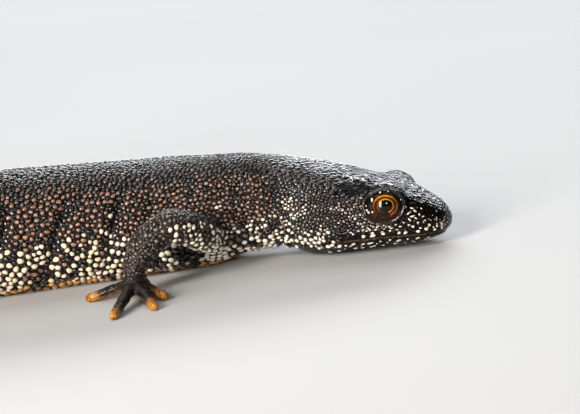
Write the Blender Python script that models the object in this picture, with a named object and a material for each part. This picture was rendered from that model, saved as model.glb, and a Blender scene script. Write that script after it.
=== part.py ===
"""A great crested newt at life size, lying on a level floor with its head turned a little to its right.

The body is one family of cross-sections strung along a curved spine: each length of it (head, neck, trunk,
hips, tail) is a loft between two places on that spine. Legs are tapered tubes that start inside the body and
are trimmed to its surface, and each hand or foot is a palm with its digits joined on. The trunk and the tail are
pressed flat where they meet the floor and the digits are cut level with it, which gives them their resting flats.

Metres, +Z up, +X towards the snout, +Y to the newt's left.
"""

import math
from collections import namedtuple

import bmesh
import bpy
from mathutils import Matrix, Vector

MM = 0.001

# Driving sizes, in millimetres. "along" is the distance from the snout tip, measured down the spine.
TOTAL_LENGTH = 140.0
GAP = 0.3  # between neighbouring solids
STEP = 0.5  # of the spine's own integration
WELD = 0.02  # points of a tube's cap this close to its side are one point

# How finely the solids are faceted.
SIDES = 24  # points round each cross-section of the body
LEG_SIDES_RESOLUTION = 4  # bevel resolution that gives a tube 12 sides
DIGIT_SIDES_RESOLUTION = 2  # and 8 sides
LID_SEGMENTS = 20
EYE_SEGMENTS = 16
PALM_SEGMENTS = 12
SHARP_ANGLE = math.radians(50)

# Which way the body points, in degrees to the newt's left of +X, at distances along the spine.
HEADINGS = ((0, -13), (13, -13), (21, -2), (34, 1), (52, 7), (66, 13), (76, 12), (92, -4), (112, -30), (140, -52))

# Cross-sections: half width, height of the back and of the belly above the floor, height of the widest level,
# and how square the back and the belly are (2 is an ellipse, more is boxy, less is keeled).
Section = namedtuple("Section", "along half_width back belly widest back_square belly_square")
SECTIONS = (
    Section(0.15, 1.15, 2.95, 1.75, 2.30, 2.0, 2.0),
    Section(0.50, 1.95, 3.55, 1.25, 2.25, 2.1, 2.0),
    Section(1.20, 2.75, 4.30, 0.75, 2.15, 2.2, 2.0),
    Section(2.50, 3.60, 5.20, 0.45, 2.10, 2.4, 2.2),
    Section(4.00, 4.25, 6.05, 0.35, 2.20, 2.6, 2.3),
    Section(6.00, 4.85, 6.90, 0.25, 2.40, 2.6, 2.3),
    Section(8.50, 5.60, 7.70, 0.10, 2.80, 2.5, 2.3),
    Section(11.5, 6.20, 8.55, -0.15, 3.40, 2.4, 2.3),
    Section(14.0, 5.90, 9.25, -0.10, 4.00, 2.3, 2.3),
    Section(17.2, 5.20, 10.0, 0.85, 4.80, 2.2, 2.2),
    Section(20.5, 5.45, 10.6, 0.85, 5.00, 2.2, 2.2),
    Section(25.0, 6.25, 11.0, 0.00, 4.90, 2.2, 2.4),
    Section(34.0, 6.95, 11.4, -0.30, 5.00, 2.2, 2.5),
    Section(48.0, 7.35, 12.0, -0.35, 5.10, 2.2, 2.5),
    Section(58.0, 6.50, 10.9, -0.30, 4.90, 2.2, 2.4),
    Section(65.0, 5.00, 9.30, -0.20, 4.50, 2.1, 2.2),
    Section(72.0, 3.70, 8.20, -0.15, 4.00, 2.0, 2.1),
    Section(80.0, 2.80, 8.00, -0.12, 3.80, 1.9, 1.9),
    Section(95.0, 2.10, 7.60, -0.10, 3.60, 1.7, 1.7),
    Section(112., 1.55, 6.00, -0.10, 2.80, 1.7, 1.7),
    Section(128., 0.95, 3.50, -0.08, 1.60, 1.8, 1.8),
    Section(139., 0.35, 0.95, -0.03, 0.45, 2.0, 2.0),
)

# The lengths of body that are nodes of their own, with the ring spacing that each needs.
LENGTHS = (
    ("neck", 17.2, 22.5, 1.3),
    ("trunk_front", 22.5, 42.0, 2.2),
    ("trunk_rear", 42.0, 60.0, 2.2),
    ("hips", 60.0, 73.5, 1.8),
    ("tail_base", 73.5, 92.0, 2.3),
    ("tail_middle", 92.0, 110.0, 2.6),
    ("tail_rear", 110.0, 126.0, 2.6),
    ("tail_tip", 126.0, 139.0, 2.2),
)
HEAD_END = 17.2
HEAD_RING_SPACING = 0.9

# Eyes: the ball, its bed in the head, and the round rim of lids that stands out round it.
EYE_ALONG = 6.0
EYE_ASIDE = 3.5
EYE_HEIGHT = 4.85
EYE_RADIUS = 1.6
EYE_GAP = 0.2
LID_RADIUS = 2.25
LID_ASIDE = 2.95
LID_HEIGHT = 4.72
LID_OPENING = 1.62
LID_OPENING_ASIDE = 4.0
LID_OPENING_DEPTH = 4.0
EYE_LOOKS_FORWARD = 10.0
EYE_LOOKS_UP = 8.0

# The mouth: its line from the snout back to its corner, as (along, height), then down to the floor.
MOUTH = ((-2.0, 1.20), (0.0, 1.20), (4.0, 1.62), (7.0, 1.78), (9.8, 1.80), (11.2, 1.60), (13.0, -2.0))
HEAD_HALF_SPAN = 9.0

# Legs. Places are (along, to the left, height), and a tube's radius is given at each place.
Leg = namedtuple("Leg", "parts places radii palm digit_tips")
ARM_RADII = (1.85, 1.82, 1.72, 1.66, 1.30)
THIGH_RADII = (2.10, 1.95, 1.70, 1.55, 1.10)
LEGS = {
    "right_fore": Leg(
        ("right_upper_arm", "right_forearm", "right_hand"),
        ((24.4, -4.0, 3.2), (25.7, -7.8, 4.7), (28.5, -10.4, 6.2), (31.0, -10.9, 5.0), (32.6, -11.2, 3.0)),
        ARM_RADII,
        (32.7, -12.6, 1.30),
        ((29.7, -14.8), (30.7, -18.4), (34.9, -20.0), (37.6, -11.6)),
    ),
    "left_fore": Leg(
        ("left_upper_arm", "left_forearm", "left_hand"),
        ((24.8, 4.0, 3.4), (26.4, 8.2, 4.8), (26.8, 11.2, 5.4), (24.9, 13.5, 4.3), (22.8, 14.9, 2.7)),
        ARM_RADII,
        (21.6, 15.8, 1.30),
        ((17.6, 14.0), (15.6, 17.2), (16.6, 21.4), (20.9, 21.4)),
    ),
    "right_hind": Leg(
        ("right_thigh", "right_shank", "right_foot"),
        ((65.0, -2.6, 4.4), (61.8, -6.6, 5.3), (59.2, -9.8, 5.6), (59.3, -12.4, 4.2), (60.2, -14.9, 2.3)),
        THIGH_RADII,
        (59.8, -16.6, 1.3),
        ((55.4, -15.3), (53.5, -18.3), (54.5, -21.9), (58.4, -23.6), (62.4, -21.2)),
    ),
    "left_hind": Leg(
        ("left_thigh", "left_shank", "left_foot"),
        ((65.0, 2.6, 4.4), (62.6, 6.8, 5.3), (61.6, 10.2, 5.6), (64.1, 12.2, 4.2), (67.2, 13.6, 2.3)),
        THIGH_RADII,
        (68.9, 14.6, 1.3),
        ((67.4, 19.3), (70.6, 21.2), (74.4, 20.1), (76.4, 16.9), (74.1, 12.9)),
    ),
}
TUBE_POINTS = 13  # along each leg's tube
TRIMMER_REACH = 9.0  # how far the body that trims a leg runs before and behind the leg's root
TRIMMER_SPACING = 2.2
PALM_RADII = {"hand": (1.75, 1.65, 0.95), "foot": (1.95, 1.85, 1.0)}
STUB_RADII = (1.0, 0.8)  # of the wrist or ankle, halfway into the palm and at its middle
DIGIT_POINTS = 5
DIGIT_BASE_SHARE = 0.19  # where a digit leaves the palm, as a share of its way from the palm's middle
DIGIT_BASE_RADIUS = 0.62
DIGIT_TIP_RADIUS = 0.44
DIGIT_TIP_HEIGHT = 0.36
DIGIT_TIP_ROUNDING = 0.6  # how far the blunt end goes on, and how wide it is there, in tip radii
DIGIT_ARCH = 0.35

# Colour and roughness of each kind of surface. None of them is metal.
FINISHES = {
    "dark_skin": ((0.030, 0.024, 0.022), 0.45),
    "throat_skin": ((0.045, 0.038, 0.034), 0.45),
    "tail_skin": ((0.036, 0.026, 0.020), 0.45),
    "leg_skin": ((0.042, 0.036, 0.034), 0.50),
    "digit_skin": ((0.290, 0.130, 0.035), 0.50),
    "eye_gold": ((0.330, 0.130, 0.015), 0.08),
}


def smooth(table, along):
    """A value that runs smoothly through a table of (along, value), without overshoot."""
    if along <= table[0][0]:
        return table[0][1]
    if along >= table[-1][0]:
        return table[-1][1]
    places = [row[0] for row in table]
    values = [row[1] for row in table]
    slopes = [(values[i + 1] - values[i]) / (places[i + 1] - places[i]) for i in range(len(table) - 1)]
    bends = [slopes[0]]
    for before, after in zip(slopes, slopes[1:]):
        bends.append(0.0 if before * after <= 0 else 2 * before * after / (before + after))
    bends.append(slopes[-1])
    i = max(k for k in range(len(table) - 1) if places[k] <= along)
    run = places[i + 1] - places[i]
    t = (along - places[i]) / run
    return (
        values[i] * (2 * t**3 - 3 * t**2 + 1)
        + bends[i] * run * (t**3 - 2 * t**2 + t)
        + values[i + 1] * (3 * t**2 - 2 * t**3)
        + bends[i + 1] * run * (t**3 - t**2)
    )


def heading(along):
    return math.radians(smooth(HEADINGS, along))


def spine_places():
    """The spine's own line: a place for every STEP from the snout tip back to the tail tip."""
    place = Vector((0.0, 0.0, 0.0))
    places = [place.copy()]
    for i in range(int(TOTAL_LENGTH / STEP)):
        yaw = heading((i + 0.5) * STEP)
        place = place - STEP * Vector((math.cos(yaw), math.sin(yaw), 0.0))
        places.append(place.copy())
    return places


SPINE = spine_places()


def body_place(along, aside, height):
    """The point at a distance along the spine, to the newt's left of it and above the floor, in millimetres."""
    i = min(max(int(along / STEP), 0), len(SPINE) - 2)
    middle = SPINE[i].lerp(SPINE[i + 1], along / STEP - i)
    yaw = heading(along)
    return middle + aside * Vector((-math.sin(yaw), math.cos(yaw), 0.0)) + Vector((0.0, 0.0, height))


def section_value(name, along):
    column = Section._fields.index(name)
    return smooth([(row.along, row[column]) for row in SECTIONS], along)


def on_floor(point):
    """The point, pressed up to the floor's level if it is below it."""
    return Vector((point.x, point.y, max(point.z, 0.0)))


def ring(along, grown=0.0):
    """The points of the body's cross-section at a place, optionally grown outwards, in millimetres."""
    half_width = section_value("half_width", along) + grown
    widest = section_value("widest", along)
    up = section_value("back", along) + grown - widest
    down = widest - section_value("belly", along) + grown
    points = []
    for k in range(SIDES):
        angle = 2 * math.pi * k / SIDES
        upper = math.sin(angle) >= 0
        power = 2 / section_value("back_square" if upper else "belly_square", along)
        aside = math.copysign(abs(math.cos(angle)) ** power, math.cos(angle)) * half_width
        rise = abs(math.sin(angle)) ** power * (up if upper else -down)
        points.append(on_floor(body_place(along, aside, widest + rise)))
    return points


def places_between(start, end, spacing):
    count = max(2, round((end - start) / spacing) + 1)
    return [start + (end - start) * i / (count - 1) for i in range(count)]


def loft(name, alongs, grown=0.0, snout=False):
    """A closed solid through the body's cross-sections at these places."""
    bm = bmesh.new()
    rings = [[bm.verts.new(point * MM) for point in ring(along, grown)] for along in alongs]
    for front, back in zip(rings, rings[1:]):
        for k in range(SIDES):
            j = (k + 1) % SIDES
            bm.faces.new((front[k], front[j], back[j], back[k]))
    if snout:
        tip = bm.verts.new(body_place(0.0, 0.0, section_value("widest", 0.0)) * MM)
        for k in range(SIDES):
            bm.faces.new((rings[0][(k + 1) % SIDES], rings[0][k], tip))
    else:
        bm.faces.new(list(reversed(rings[0])))
    bm.faces.new(rings[-1])
    return finished(name, bm)


def finished(name, bm):
    """The bmesh as a new object, with its faces pointing out."""
    bmesh.ops.recalc_face_normals(bm, faces=bm.faces)
    mesh = bpy.data.meshes.new(name)
    bm.to_mesh(mesh)
    bm.free()
    obj = bpy.data.objects.new(name, mesh)
    bpy.context.scene.collection.objects.link(obj)
    return obj


def ball(name, centre, radii, segments, turn):
    """An ellipsoid with its middle at a point in millimetres."""
    bm = bmesh.new()
    bmesh.ops.create_uvsphere(bm, u_segments=segments, v_segments=segments // 2, radius=1.0)
    bmesh.ops.scale(bm, vec=Vector(radii) * MM, verts=bm.verts)
    bmesh.ops.rotate(bm, cent=(0, 0, 0), matrix=turn, verts=bm.verts)
    bmesh.ops.translate(bm, vec=centre * MM, verts=bm.verts)
    return finished(name, bm)


def tube(name, places, radii, resolution):
    """A tapered round tube through points in millimetres, as a closed mesh."""
    curve = bpy.data.curves.new(name, "CURVE")
    curve.dimensions = "3D"
    curve.bevel_depth = MM
    curve.bevel_resolution = resolution
    curve.use_fill_caps = True
    spline = curve.splines.new("POLY")
    spline.points.add(len(places) - 1)
    for point, place, radius in zip(spline.points, places, radii):
        point.co = (*(place * MM), 1.0)
        point.radius = radius
    guide = bpy.data.objects.new(name + "_guide", curve)
    bpy.context.scene.collection.objects.link(guide)
    bpy.context.view_layer.update()
    graph = bpy.context.evaluated_depsgraph_get()
    bm = bmesh.new()
    bm.from_mesh(bpy.data.meshes.new_from_object(guide.evaluated_get(graph)))
    bpy.data.objects.remove(guide)
    bmesh.ops.remove_doubles(bm, verts=bm.verts, dist=WELD * MM)
    return finished(name, bm)


def combine(obj, operation, *others):
    """Joins other solids to this one, cuts them from it or keeps what they share, and removes them."""
    for other in others:
        modifier = obj.modifiers.new(operation.title(), "BOOLEAN")
        modifier.operation = operation
        modifier.object = other
        bpy.context.view_layer.update()
        graph = bpy.context.evaluated_depsgraph_get()
        mesh = bpy.data.meshes.new_from_object(obj.evaluated_get(graph))
        obj.modifiers.clear()
        obj.data = mesh
        bpy.data.objects.remove(other)
    return obj


def cut_at(obj, point, normal):
    """Keeps the side of a solid that the normal points away from, and closes it with a flat face."""
    bm = bmesh.new()
    bm.from_mesh(obj.data)
    everything = bm.verts[:] + bm.edges[:] + bm.faces[:]
    bmesh.ops.bisect_plane(bm, geom=everything, plane_co=point * MM, plane_no=normal, clear_outer=True)
    open_edges = [edge for edge in bm.edges if edge.is_boundary]
    bmesh.ops.holes_fill(bm, edges=open_edges, sides=0)
    bmesh.ops.recalc_face_normals(bm, faces=bm.faces)
    bm.to_mesh(obj.data)
    bm.free()
    return obj


def copied(obj, name):
    twin = bpy.data.objects.new(name, obj.data.copy())
    bpy.context.scene.collection.objects.link(twin)
    return twin


def finish_on(obj, kind):
    """Gives a solid its material and smooth shading."""
    colour, roughness = FINISHES[kind]
    material = bpy.data.materials.new(f"{obj.name}_{kind}")
    material.use_nodes = True
    shader = material.node_tree.nodes["Principled BSDF"]
    shader.inputs["Base Color"].default_value = (*colour, 1.0)
    shader.inputs["Roughness"].default_value = roughness
    shader.inputs["Metallic"].default_value = 0.0
    obj.data.materials.clear()
    obj.data.materials.append(material)
    obj.data.shade_smooth()
    obj.data.set_sharp_from_angle(angle=SHARP_ANGLE)


def eye_direction(side):
    """Which way an eye looks: outwards, a little forward and a little up. Side is 1 on the left, -1 on the right."""
    yaw = heading(EYE_ALONG)
    outward = Vector((-math.sin(yaw), math.cos(yaw), 0.0)) * side
    forward = Vector((math.cos(yaw), math.sin(yaw), 0.0))
    ahead, above = math.radians(EYE_LOOKS_FORWARD), math.radians(EYE_LOOKS_UP)
    level = outward * math.cos(ahead) + forward * math.sin(ahead)
    return (level * math.cos(above) + Vector((0, 0, math.sin(above)))).normalized()


def eye_opening(name, side):
    """A cutter along the eye's line of sight that opens the lids round the eyeball."""
    look = eye_direction(side)
    centre = body_place(EYE_ALONG, side * EYE_ASIDE, EYE_HEIGHT)
    middle = centre + look * (LID_OPENING_ASIDE - EYE_ASIDE + LID_OPENING_DEPTH / 2)
    radius = LID_OPENING * MM
    bm = bmesh.new()
    bmesh.ops.create_cone(
        bm, cap_ends=True, segments=LID_SEGMENTS, radius1=radius, radius2=radius, depth=LID_OPENING_DEPTH * MM
    )
    turn = look.to_track_quat("Z", "Y").to_matrix().to_4x4()
    bmesh.ops.transform(bm, matrix=Matrix.Translation(middle * MM) @ turn, verts=bm.verts)
    return finished(name, bm)


def jaw_block(name, shift):
    """A block that holds all of the head below the mouth line, with that line moved up or down by a shift."""
    *lip, corner, floor_end = MOUTH
    outline = [(along, height + shift) for along, height in lip]
    outline += [(corner[0] + shift, corner[1] + shift), (floor_end[0] + shift, floor_end[1])]
    outline.append((lip[0][0], floor_end[1]))
    yaw = heading(0.0)
    forward = Vector((math.cos(yaw), math.sin(yaw), 0.0))
    left = Vector((-math.sin(yaw), math.cos(yaw), 0.0))
    bm = bmesh.new()
    corners = []
    for along, height in outline:
        point = -along * forward - HEAD_HALF_SPAN * left + Vector((0.0, 0.0, height))
        corners.append(bm.verts.new(point * MM))
    side = bm.faces.new(corners)
    grown = bmesh.ops.extrude_face_region(bm, geom=[side])["geom"]
    moved = [part for part in grown if isinstance(part, bmesh.types.BMVert)]
    bmesh.ops.translate(bm, vec=2 * HEAD_HALF_SPAN * left * MM, verts=moved)
    return finished(name, bm)


def make_head():
    """The head with the beds of its eyes, its lower jaw, and the two eyeballs."""
    first = [row.along for row in SECTIONS[:3]]
    spaced = places_between(first[-1] + HEAD_RING_SPACING, HEAD_END - GAP / 2, HEAD_RING_SPACING)
    head = loft("head", first + spaced, snout=True)
    yaw = Matrix.Rotation(heading(EYE_ALONG), 3, "Z")
    eyes = []
    for side, word in ((1, "left"), (-1, "right")):
        rim = body_place(EYE_ALONG, side * LID_ASIDE, LID_HEIGHT)
        combine(head, "UNION", ball("lids", rim, (LID_RADIUS,) * 3, LID_SEGMENTS, yaw))
        centre = body_place(EYE_ALONG, side * EYE_ASIDE, EYE_HEIGHT)
        bed = ball("bed", centre, (EYE_RADIUS + EYE_GAP,) * 3, EYE_SEGMENTS, yaw)
        combine(head, "DIFFERENCE", bed, eye_opening("opening", side))
        eyes.append(ball(word + "_eye", centre, (EYE_RADIUS,) * 3, EYE_SEGMENTS, yaw))
    jaw = copied(head, "lower_jaw")
    combine(jaw, "INTERSECT", jaw_block("jaw_block", -GAP / 2))
    combine(head, "DIFFERENCE", jaw_block("jaw_block", GAP / 2))
    finish_on(head, "dark_skin")
    finish_on(jaw, "throat_skin")
    for eye in eyes:
        finish_on(eye, "eye_gold")
    return [head, jaw, *eyes]


def make_lengths():
    """Neck, trunk, hips and tail, each a loft with half a gap at both ends."""
    made = []
    for name, start, end, spacing in LENGTHS:
        obj = loft(name, places_between(start + GAP / 2, end - GAP / 2, spacing))
        finish_on(obj, "tail_skin" if name.startswith("tail") else "dark_skin")
        made.append(obj)
    return made


def leg_line(leg):
    """Evenly spaced points and radii down a leg, from inside the body to the wrist or ankle."""
    last = len(leg.places) - 1
    columns = [[(i, place[axis]) for i, place in enumerate(leg.places)] for axis in range(3)]
    widths = list(enumerate(leg.radii))
    points, radii = [], []
    for i in range(TUBE_POINTS):
        t = last * i / (TUBE_POINTS - 1)
        points.append(body_place(*(smooth(column, t) for column in columns)))
        radii.append(smooth(widths, t))
    return points, radii


def digit(name, palm, tip):
    """One finger or toe: a tapered tube that arches from the palm down to the floor."""
    end = body_place(*tip, DIGIT_TIP_HEIGHT)
    points, radii = [], []
    for i in range(DIGIT_POINTS):
        share = DIGIT_BASE_SHARE + (1 - DIGIT_BASE_SHARE) * i / (DIGIT_POINTS - 1)
        point = palm.lerp(end, share)
        point.z += DIGIT_ARCH * math.sin(math.pi * share) * (1 - share)
        points.append(point)
        radii.append(DIGIT_BASE_RADIUS + (DIGIT_TIP_RADIUS - DIGIT_BASE_RADIUS) * share)
    rounding = DIGIT_TIP_RADIUS * DIGIT_TIP_ROUNDING
    points.append(end + (end - palm).normalized() * rounding)
    radii.append(rounding)
    return tube(name, points, radii, DIGIT_SIDES_RESOLUTION)


def make_leg(leg):
    """The three pieces of one leg, trimmed to the trunk and parted at the middle joint and at the wrist or ankle."""
    points, radii = leg_line(leg)
    palm = body_place(*leg.palm)
    middle, wrist = TUBE_POINTS // 2, TUBE_POINTS - 1
    bend = (points[middle + 1] - points[middle - 1]).normalized()
    into_palm = (palm - points[wrist]).normalized()

    upper = tube(leg.parts[0], points, radii, LEG_SIDES_RESOLUTION)
    lower = copied(upper, leg.parts[1])
    cut_at(upper, points[middle] - bend * GAP / 2, bend)
    root = leg.places[0][0]
    alongs = places_between(root - TRIMMER_REACH, root + TRIMMER_REACH, TRIMMER_SPACING)
    combine(upper, "DIFFERENCE", loft("trimmer", alongs, grown=GAP))

    kind = "hand" if leg.parts[2].endswith("hand") else "foot"
    facing = Matrix.Rotation(math.atan2(into_palm.y, into_palm.x), 3, "Z")
    hollow_radii = [radius + GAP for radius in PALM_RADII[kind]]
    cut_at(lower, points[middle] + bend * GAP / 2, -bend)
    cut_at(lower, points[wrist] - into_palm * GAP, into_palm)
    combine(lower, "DIFFERENCE", ball("hollow", palm, hollow_radii, PALM_SEGMENTS, facing))

    end_piece = ball(leg.parts[2], palm, PALM_RADII[kind], PALM_SEGMENTS, facing)
    stub_points = [points[wrist], points[wrist].lerp(palm, 0.5), palm]
    stub = tube("stub", stub_points, [radii[-1], *STUB_RADII], LEG_SIDES_RESOLUTION)
    digits = [digit(f"digit_{i}", palm, tip) for i, tip in enumerate(leg.digit_tips)]
    combine(end_piece, "UNION", stub, *digits)
    cut_at(end_piece, Vector(), Vector((0.0, 0.0, -1.0)))

    finish_on(upper, "leg_skin")
    finish_on(lower, "leg_skin")
    finish_on(end_piece, "digit_skin")
    return [upper, lower, end_piece]


def centre_on_origin(objects):
    """Moves all the solids so that the origin is on the floor under the middle of the newt's own box."""
    corners = [vert.co for obj in objects for vert in obj.data.vertices]
    low = Vector([min(corner[axis] for corner in corners) for axis in range(3)])
    high = Vector([max(corner[axis] for corner in corners) for axis in range(3)])
    shift = -(low + high) / 2
    shift.z = -low.z
    for obj in objects:
        obj.data.transform(Matrix.Translation(shift))


def main():
    for obj in list(bpy.data.objects):
        bpy.data.objects.remove(obj)
    newt = bpy.data.collections.new("crested_newt")
    bpy.context.scene.collection.children.link(newt)
    solids = make_head() + make_lengths()
    for leg in LEGS.values():
        solids += make_leg(leg)
    centre_on_origin(solids)
    for obj in solids:
        bpy.context.scene.collection.objects.unlink(obj)
        newt.objects.link(obj)


main()
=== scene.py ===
"""A life-size great crested newt: one skin over its solids, with warts, eyes, floor, lights and camera."""

import math

import bmesh
import bpy
import numpy as np
from bpy.props import FloatProperty, IntProperty, PointerProperty
from mathutils import Matrix, Vector


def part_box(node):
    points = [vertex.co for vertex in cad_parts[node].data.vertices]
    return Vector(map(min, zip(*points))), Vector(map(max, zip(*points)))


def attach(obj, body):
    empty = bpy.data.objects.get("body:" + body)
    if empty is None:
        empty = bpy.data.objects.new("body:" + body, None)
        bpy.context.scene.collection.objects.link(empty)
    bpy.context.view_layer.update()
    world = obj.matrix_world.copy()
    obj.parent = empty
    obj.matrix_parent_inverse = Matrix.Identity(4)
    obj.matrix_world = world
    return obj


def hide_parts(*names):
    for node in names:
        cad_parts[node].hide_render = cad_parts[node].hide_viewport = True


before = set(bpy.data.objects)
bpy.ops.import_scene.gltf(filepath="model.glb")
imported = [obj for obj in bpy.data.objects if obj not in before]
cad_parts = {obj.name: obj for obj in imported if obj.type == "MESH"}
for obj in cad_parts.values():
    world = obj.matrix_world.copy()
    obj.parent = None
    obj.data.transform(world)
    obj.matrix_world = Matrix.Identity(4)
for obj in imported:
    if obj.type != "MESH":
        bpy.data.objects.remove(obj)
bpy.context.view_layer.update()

bl_info = {
    "name": "Crested newt",
    "version": (1, 0, 0),
    "blender": (4, 5, 0),
    "location": "3D View > Sidebar > Newt",
    "description": "Builds a life-size great crested newt and the stage it lies on",
    "category": "Add Mesh",
}

MM = 0.001

# --- The body's own measures, in millimetres ---

# Along is back from the snout tip along the spine.

# Direction of the spine at places along it, in degrees to the left of the frame's +X.
HEADINGS = (
    (0, -13), (13, -13), (21, -2), (34, 1), (52, 7), (66, 13), (76, 12), (92, -4), (112, -30), (140, -52),
)
TOTAL_LENGTH = 140.0
SPINE_STEP = 0.5

# Cross-sections: along, half width, back, belly, height of the widest place, squareness of back and belly.
SECTIONS = np.array((
    (0.00, 0.00, 2.30, 2.30, 2.30, 2.0, 2.0),
    (0.01, 0.30, 2.47, 2.16, 2.30, 2.0, 2.0),
    (0.04, 0.59, 2.64, 2.02, 2.30, 2.0, 2.0),
    (0.15, 1.15, 2.95, 1.75, 2.30, 2.0, 2.0),
    (0.50, 1.95, 3.55, 1.25, 2.25, 2.1, 2.0),
    (1.20, 2.75, 4.30, 0.75, 2.15, 2.2, 2.0),
    (2.50, 3.60, 5.20, 0.45, 2.10, 2.4, 2.2),
    (4.00, 4.25, 6.05, 0.35, 2.20, 2.6, 2.3),
    (6.00, 4.85, 6.90, 0.25, 2.40, 2.6, 2.3),
    (8.50, 5.60, 7.70, 0.10, 2.80, 2.5, 2.3),
    (11.5, 6.20, 8.55, -0.15, 3.40, 2.4, 2.3),
    (14.0, 5.90, 9.25, -0.10, 4.00, 2.3, 2.3),
    (17.2, 5.20, 10.0, 0.85, 4.80, 2.2, 2.2),
    (20.5, 5.45, 10.6, 0.85, 5.00, 2.2, 2.2),
    (25.0, 6.25, 11.0, 0.00, 4.90, 2.2, 2.4),
    (34.0, 6.95, 11.4, -0.30, 5.00, 2.2, 2.5),
    (48.0, 7.35, 12.0, -0.35, 5.10, 2.2, 2.5),
    (58.0, 6.50, 10.9, -0.30, 4.90, 2.2, 2.4),
    (65.0, 5.00, 9.30, -0.20, 4.50, 2.1, 2.2),
    (72.0, 3.70, 8.20, -0.15, 4.00, 2.0, 2.1),
    (80.0, 2.80, 8.00, -0.12, 3.80, 1.9, 1.9),
    (95.0, 2.10, 7.60, -0.10, 3.60, 1.7, 1.7),
    (112.0, 1.55, 6.00, -0.10, 2.80, 1.7, 1.7),
    (128.0, 0.95, 3.50, -0.08, 1.60, 1.8, 1.8),
    (139.0, 0.35, 0.95, -0.03, 0.45, 2.0, 2.0),
    (139.7, 0.20, 0.72, 0.20, 0.45, 2.0, 2.0),
    (140.0, 0.00, 0.45, 0.45, 0.45, 2.0, 2.0),
))
COAT_DEPTH = 0.13  # how far the skin lies inside the solids
COAT_FULL_WIDTH = 0.7  # half width at which it has that whole depth

# Eyes, lids and mouth.
EYE_ALONG = 6.0
EYE_ASIDE = 3.5
EYE_HEIGHT = 4.85
EYE_RADIUS = 1.6
EYE_FORWARD = math.radians(10.0)
EYE_UP = math.radians(8.0)
LID_ASIDE = 2.95
LID_HEIGHT = 4.72
LID_RADIUS = 2.2
OPENING = (1.43, 1.17)  # half width and half height of the open eye
LID_EDGE_RADIUS = 1.665  # from the eyeball's middle
LID_LIP_RADIUS = 1.76
BEHIND_EYE_RADIUS = 1.2
LID_BLEND = 0.22  # how softly the dome of the lids rises from the head
LID_SNAP = 0.035  # how far the skin is drawn to the edge of the lids, as a share of the opening
CREASE_SPACE = 0.19
RIDGE_MIDDLE = (-0.2, -0.06)  # of the ridge round the lids, forward and up in the eye's own plane
RIDGE_AXES = (2.05, 1.70)  # half its length and half its height
MOUTH = ((0.0, 1.20), (4.0, 1.62), (7.0, 1.78), (9.8, 1.80), (11.2, 1.60), (12.0, 1.45))
MOUTH_CORNER = 10.6
NOSTRIL = (0.70, 1.70, 3.20)  # along, aside, height
HEAD_END = 17.2

# Legs: places down the leg and its radius at each, the middle of the palm, and the tips of the digits.
ARM_RADII = (1.85, 1.82, 1.72, 1.66, 1.30)
THIGH_RADII = (2.10, 1.95, 1.70, 1.55, 1.10)
HAND_RADII = (1.75, 1.65, 0.95)
FOOT_RADII = (1.95, 1.85, 1.0)
LEGS = (
    (
        ((24.4, -4.0, 3.2), (25.7, -7.8, 4.7), (28.5, -10.4, 6.2), (31.0, -10.9, 5.0), (32.6, -11.2, 3.0)),
        ARM_RADII,
        (32.7, -12.6, 1.30),
        HAND_RADII,
        ((29.7, -14.8), (30.7, -18.4), (34.9, -20.0), (37.6, -11.6)),
    ),
    (
        ((24.8, 4.0, 3.4), (26.4, 8.2, 4.8), (26.8, 11.2, 5.4), (24.9, 13.5, 4.3), (22.8, 14.9, 2.7)),
        ARM_RADII,
        (21.6, 15.8, 1.30),
        HAND_RADII,
        ((17.6, 14.0), (15.6, 17.2), (16.6, 21.4), (20.9, 21.4)),
    ),
    (
        ((65.0, -2.6, 4.4), (61.8, -6.6, 5.3), (59.2, -9.8, 5.6), (59.3, -12.4, 4.2), (60.2, -14.9, 2.3)),
        THIGH_RADII,
        (59.8, -16.6, 1.3),
        FOOT_RADII,
        ((55.4, -15.3), (53.5, -18.3), (54.5, -21.9), (58.4, -23.6), (62.4, -21.2)),
    ),
    (
        ((65.0, 2.6, 4.4), (62.6, 6.8, 5.3), (61.6, 10.2, 5.6), (64.1, 12.2, 4.2), (67.2, 13.6, 2.3)),
        THIGH_RADII,
        (68.9, 14.6, 1.3),
        FOOT_RADII,
        ((67.4, 19.3), (70.6, 21.2), (74.4, 20.1), (76.4, 16.9), (74.1, 12.9)),
    ),
)
DIGIT_RADII = (0.62, 0.44)
DIGIT_TIP_HEIGHT = 0.36
DIGIT_ARCH = 0.35
PALM_INSET = 0.05
WRIST_RADIUS = 0.8  # where the limb ends in the palm
WRIST_STEPS = 8
LIMB_END = 0.62  # how far down a leg its limb ends and its digits start, where the leg is 1 long
DIGITS_START = 0.66

SIDES = (-1, 1)  # the newt's right and left
FAR = 99.0

FLESH = (
    "head", "lower_jaw", "neck", "trunk_front", "trunk_rear", "hips",
    "tail_base", "tail_middle", "tail_rear", "tail_tip",
    "right_upper_arm", "right_forearm", "right_hand", "left_upper_arm", "left_forearm", "left_hand",
    "right_thigh", "right_shank", "right_foot", "left_thigh", "left_shank", "left_foot",
)


# --- Places on the body ---


def through(table, along):
    """Values that run smoothly through a table of (place, value), without overshoot."""
    places, values = np.array(table, dtype=float).T
    slopes = np.diff(values) / np.diff(places)
    before, after = slopes[:-1], slopes[1:]
    same = before * after > 0
    total = np.where(same, before + after, 1.0)
    bends = np.concatenate(([slopes[0]], np.where(same, 2 * before * after / total, 0.0), [slopes[-1]]))
    s = np.clip(along, places[0], places[-1])
    i = np.clip(np.searchsorted(places, s, side="right") - 1, 0, len(places) - 2)
    run = places[i + 1] - places[i]
    t = (s - places[i]) / run
    return (
        values[i] * (2 * t**3 - 3 * t**2 + 1)
        + bends[i] * run * (t**3 - 2 * t**2 + t)
        + values[i + 1] * (3 * t**2 - 2 * t**3)
        + bends[i + 1] * run * (t**3 - t**2)
    )


def heading(along):
    return np.radians(through(HEADINGS, along))


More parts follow.
